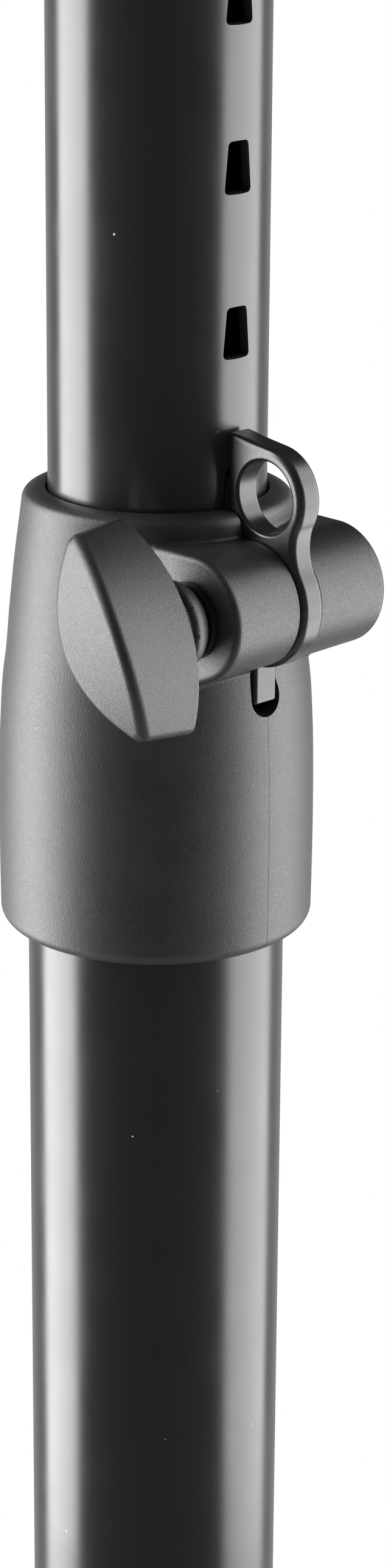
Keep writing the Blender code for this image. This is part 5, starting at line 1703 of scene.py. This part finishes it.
def make_world():
    """White for the camera, dim for diffuse light, and a dark front and ceiling for gloss."""
    world = bpy.data.worlds.new("studio")
    bpy.context.scene.world = world
    world.use_nodes = True
    tree = world.node_tree
    tree.nodes.clear()
    out = tree.nodes.new("ShaderNodeOutputWorld")
    path = tree.nodes.new("ShaderNodeLightPath")
    where = tree.nodes.new("ShaderNodeTexCoord")
    split = tree.nodes.new("ShaderNodeSeparateXYZ")
    tree.links.new(where.outputs["Generated"], split.inputs["Vector"])
    side = math.radians(VIEW_SIDE)
    ahead = math_node(tree, "ADD", math_node(tree, "MULTIPLY", split.outputs["X"], math.cos(side)),
                      math_node(tree, "MULTIPLY", split.outputs["Y"], math.sin(side)))
    squares = [math_node(tree, "MULTIPLY", split.outputs[axis], split.outputs[axis]) for axis in "XY"]
    flat = math_node(tree, "POWER", math_node(tree, "ADD", *squares), 0.5)
    facing = math_node(tree, "DIVIDE", ahead, math_node(tree, "MAXIMUM", flat, 0.001))
    behind = ramp(tree, facing, *GLOSS_BEHIND)
    up = ramp(tree, split.outputs["Z"], *GLOSS_UP)
    near_floor = ramp(tree, split.outputs["Z"], *GLOSS_FLOOR)
    gloss = math_node(tree, "ADD", math_node(tree, "MULTIPLY", behind, up), near_floor)
    diffuse = tree.nodes.new("ShaderNodeBackground")
    diffuse.inputs["Strength"].default_value = DIFFUSE_LEVEL
    shiny = tree.nodes.new("ShaderNodeBackground")
    tree.links.new(gloss, shiny.inputs["Strength"])
    clear = tree.nodes.new("ShaderNodeBackground")
    for node in (diffuse, shiny, clear):
        node.inputs["Color"].default_value = (1.0, 1.0, 1.0, 1.0)
    first = tree.nodes.new("ShaderNodeMixShader")
    tree.links.new(path.outputs["Is Glossy Ray"], first.inputs["Fac"])
    tree.links.new(diffuse.outputs[0], first.inputs[1])
    tree.links.new(shiny.outputs[0], first.inputs[2])
    second = tree.nodes.new("ShaderNodeMixShader")
    seen = math_node(tree, "MAXIMUM", path.outputs["Is Camera Ray"], path.outputs["Is Transmission Ray"])
    tree.links.new(seen, second.inputs["Fac"])
    tree.links.new(first.outputs[0], second.inputs[1])
    tree.links.new(clear.outputs[0], second.inputs[2])
    tree.links.new(second.outputs[0], out.inputs["Surface"])


def make_floor():
    shape = bmesh.new()
    bmesh.ops.create_grid(shape, x_segments=1, y_segments=1, size=FLOOR_HALF)
    floor = link_shape("studio_floor", shape)
    floor.location.z = -FLOOR_DROP
    floor.visible_glossy = False
    made = bpy.data.materials.new("pale_floor")
    made.use_nodes = True
    tree = made.node_tree
    tree.nodes.clear()
    out = tree.nodes.new("ShaderNodeOutputMaterial")
    matte = tree.nodes.new("ShaderNodeBsdfDiffuse")
    matte.inputs["Color"].default_value = (*colours().floor, 1.0)
    glow = tree.nodes.new("ShaderNodeEmission")
    path = tree.nodes.new("ShaderNodeLightPath")
    tree.links.new(math_node(tree, "MULTIPLY", path.outputs["Is Camera Ray"], FLOOR_GLOW),
                   glow.inputs["Strength"])
    both = tree.nodes.new("ShaderNodeAddShader")
    tree.links.new(matte.outputs[0], both.inputs[0])
    tree.links.new(glow.outputs[0], both.inputs[1])
    plain = tree.nodes.new("ShaderNodeEmission")
    place = tree.nodes.new("ShaderNodeTexCoord")
    length = tree.nodes.new("ShaderNodeVectorMath")
    length.operation = "LENGTH"
    tree.links.new(place.outputs["Object"], length.inputs[0])
    far = ramp(tree, length.outputs["Value"], *FLOOR_FADE)
    mix = tree.nodes.new("ShaderNodeMixShader")
    tree.links.new(far, mix.inputs["Fac"])
    tree.links.new(both.outputs[0], mix.inputs[1])
    tree.links.new(plain.outputs[0], mix.inputs[2])
    tree.links.new(mix.outputs[0], out.inputs["Surface"])
    floor.data.materials.append(made)


def make_camera():
    lens = bpy.data.cameras.new("camera")
    lens.sensor_fit = "AUTO"
    lens.sensor_width = SENSOR
    lens.lens = FOCAL_PIXELS / PHOTO_HEIGHT * SENSOR
    lens.clip_start = 0.01
    lens.clip_end = 50.0
    camera = bpy.data.objects.new("camera", lens)
    bpy.context.scene.collection.objects.link(camera)
    turn = Matrix.Rotation(math.radians(CAMERA_AZIMUTH - 90.0), 4, "Z")
    turn = turn @ Matrix.Rotation(math.radians(90.0 - CAMERA_DOWN), 4, "X")
    turn = turn @ Matrix.Rotation(math.radians(CAMERA_ROLL), 4, "Z")
    camera.matrix_world = Matrix.Translation(CAMERA_PLACE) @ turn
    bpy.context.scene.camera = camera


class STAND_OT_stage(bpy.types.Operator):
    """Floor, softboxes, background and camera"""
    bl_idname = "stand.stage"
    bl_label = "Studio"

    def execute(self, context):
        make_camera()
        make_softboxes()
        make_world()
        make_floor()
        bpy.context.scene.view_settings.view_transform = "Standard"
        return {"FINISHED"}


OPERATORS = (STAND_OT_stage, STAND_OT_base, STAND_OT_tubes, STAND_OT_collar, STAND_OT_knob, STAND_OT_latch,
             STAND_OT_head)


class STAND_PT_panel(bpy.types.Panel):
    """Lists the stand's operators, sizes and colours"""
    bl_idname = "STAND_PT_panel"
    bl_label = "Studio monitor stand"
    bl_space_type = "VIEW_3D"
    bl_region_type = "UI"
    bl_category = "Stand"

    def draw(self, context):
        for operator in OPERATORS:
            self.layout.operator(operator.bl_idname)
        for group in (context.scene.stand_sizes, context.scene.stand_colours):
            for name in group.__annotations__:
                self.layout.prop(group, name)


CLASSES = (StandColours, StandSizes, *OPERATORS, STAND_PT_panel)


def register():
    for made in CLASSES:
        bpy.utils.register_class(made)
    bpy.types.Scene.stand_colours = bpy.props.PointerProperty(type=StandColours)
    bpy.types.Scene.stand_sizes = bpy.props.PointerProperty(type=StandSizes)


def unregister():
    del bpy.types.Scene.stand_sizes
    del bpy.types.Scene.stand_colours
    for made in reversed(CLASSES):
        bpy.utils.unregister_class(made)


def main():
    register()
    bpy.ops.stand.stage()
    bpy.ops.stand.base()
    bpy.ops.stand.tubes()
    bpy.ops.stand.collar()
    bpy.ops.stand.knob()
    bpy.ops.stand.latch()
    bpy.ops.stand.head()


if __name__ == "__main__":
    main()
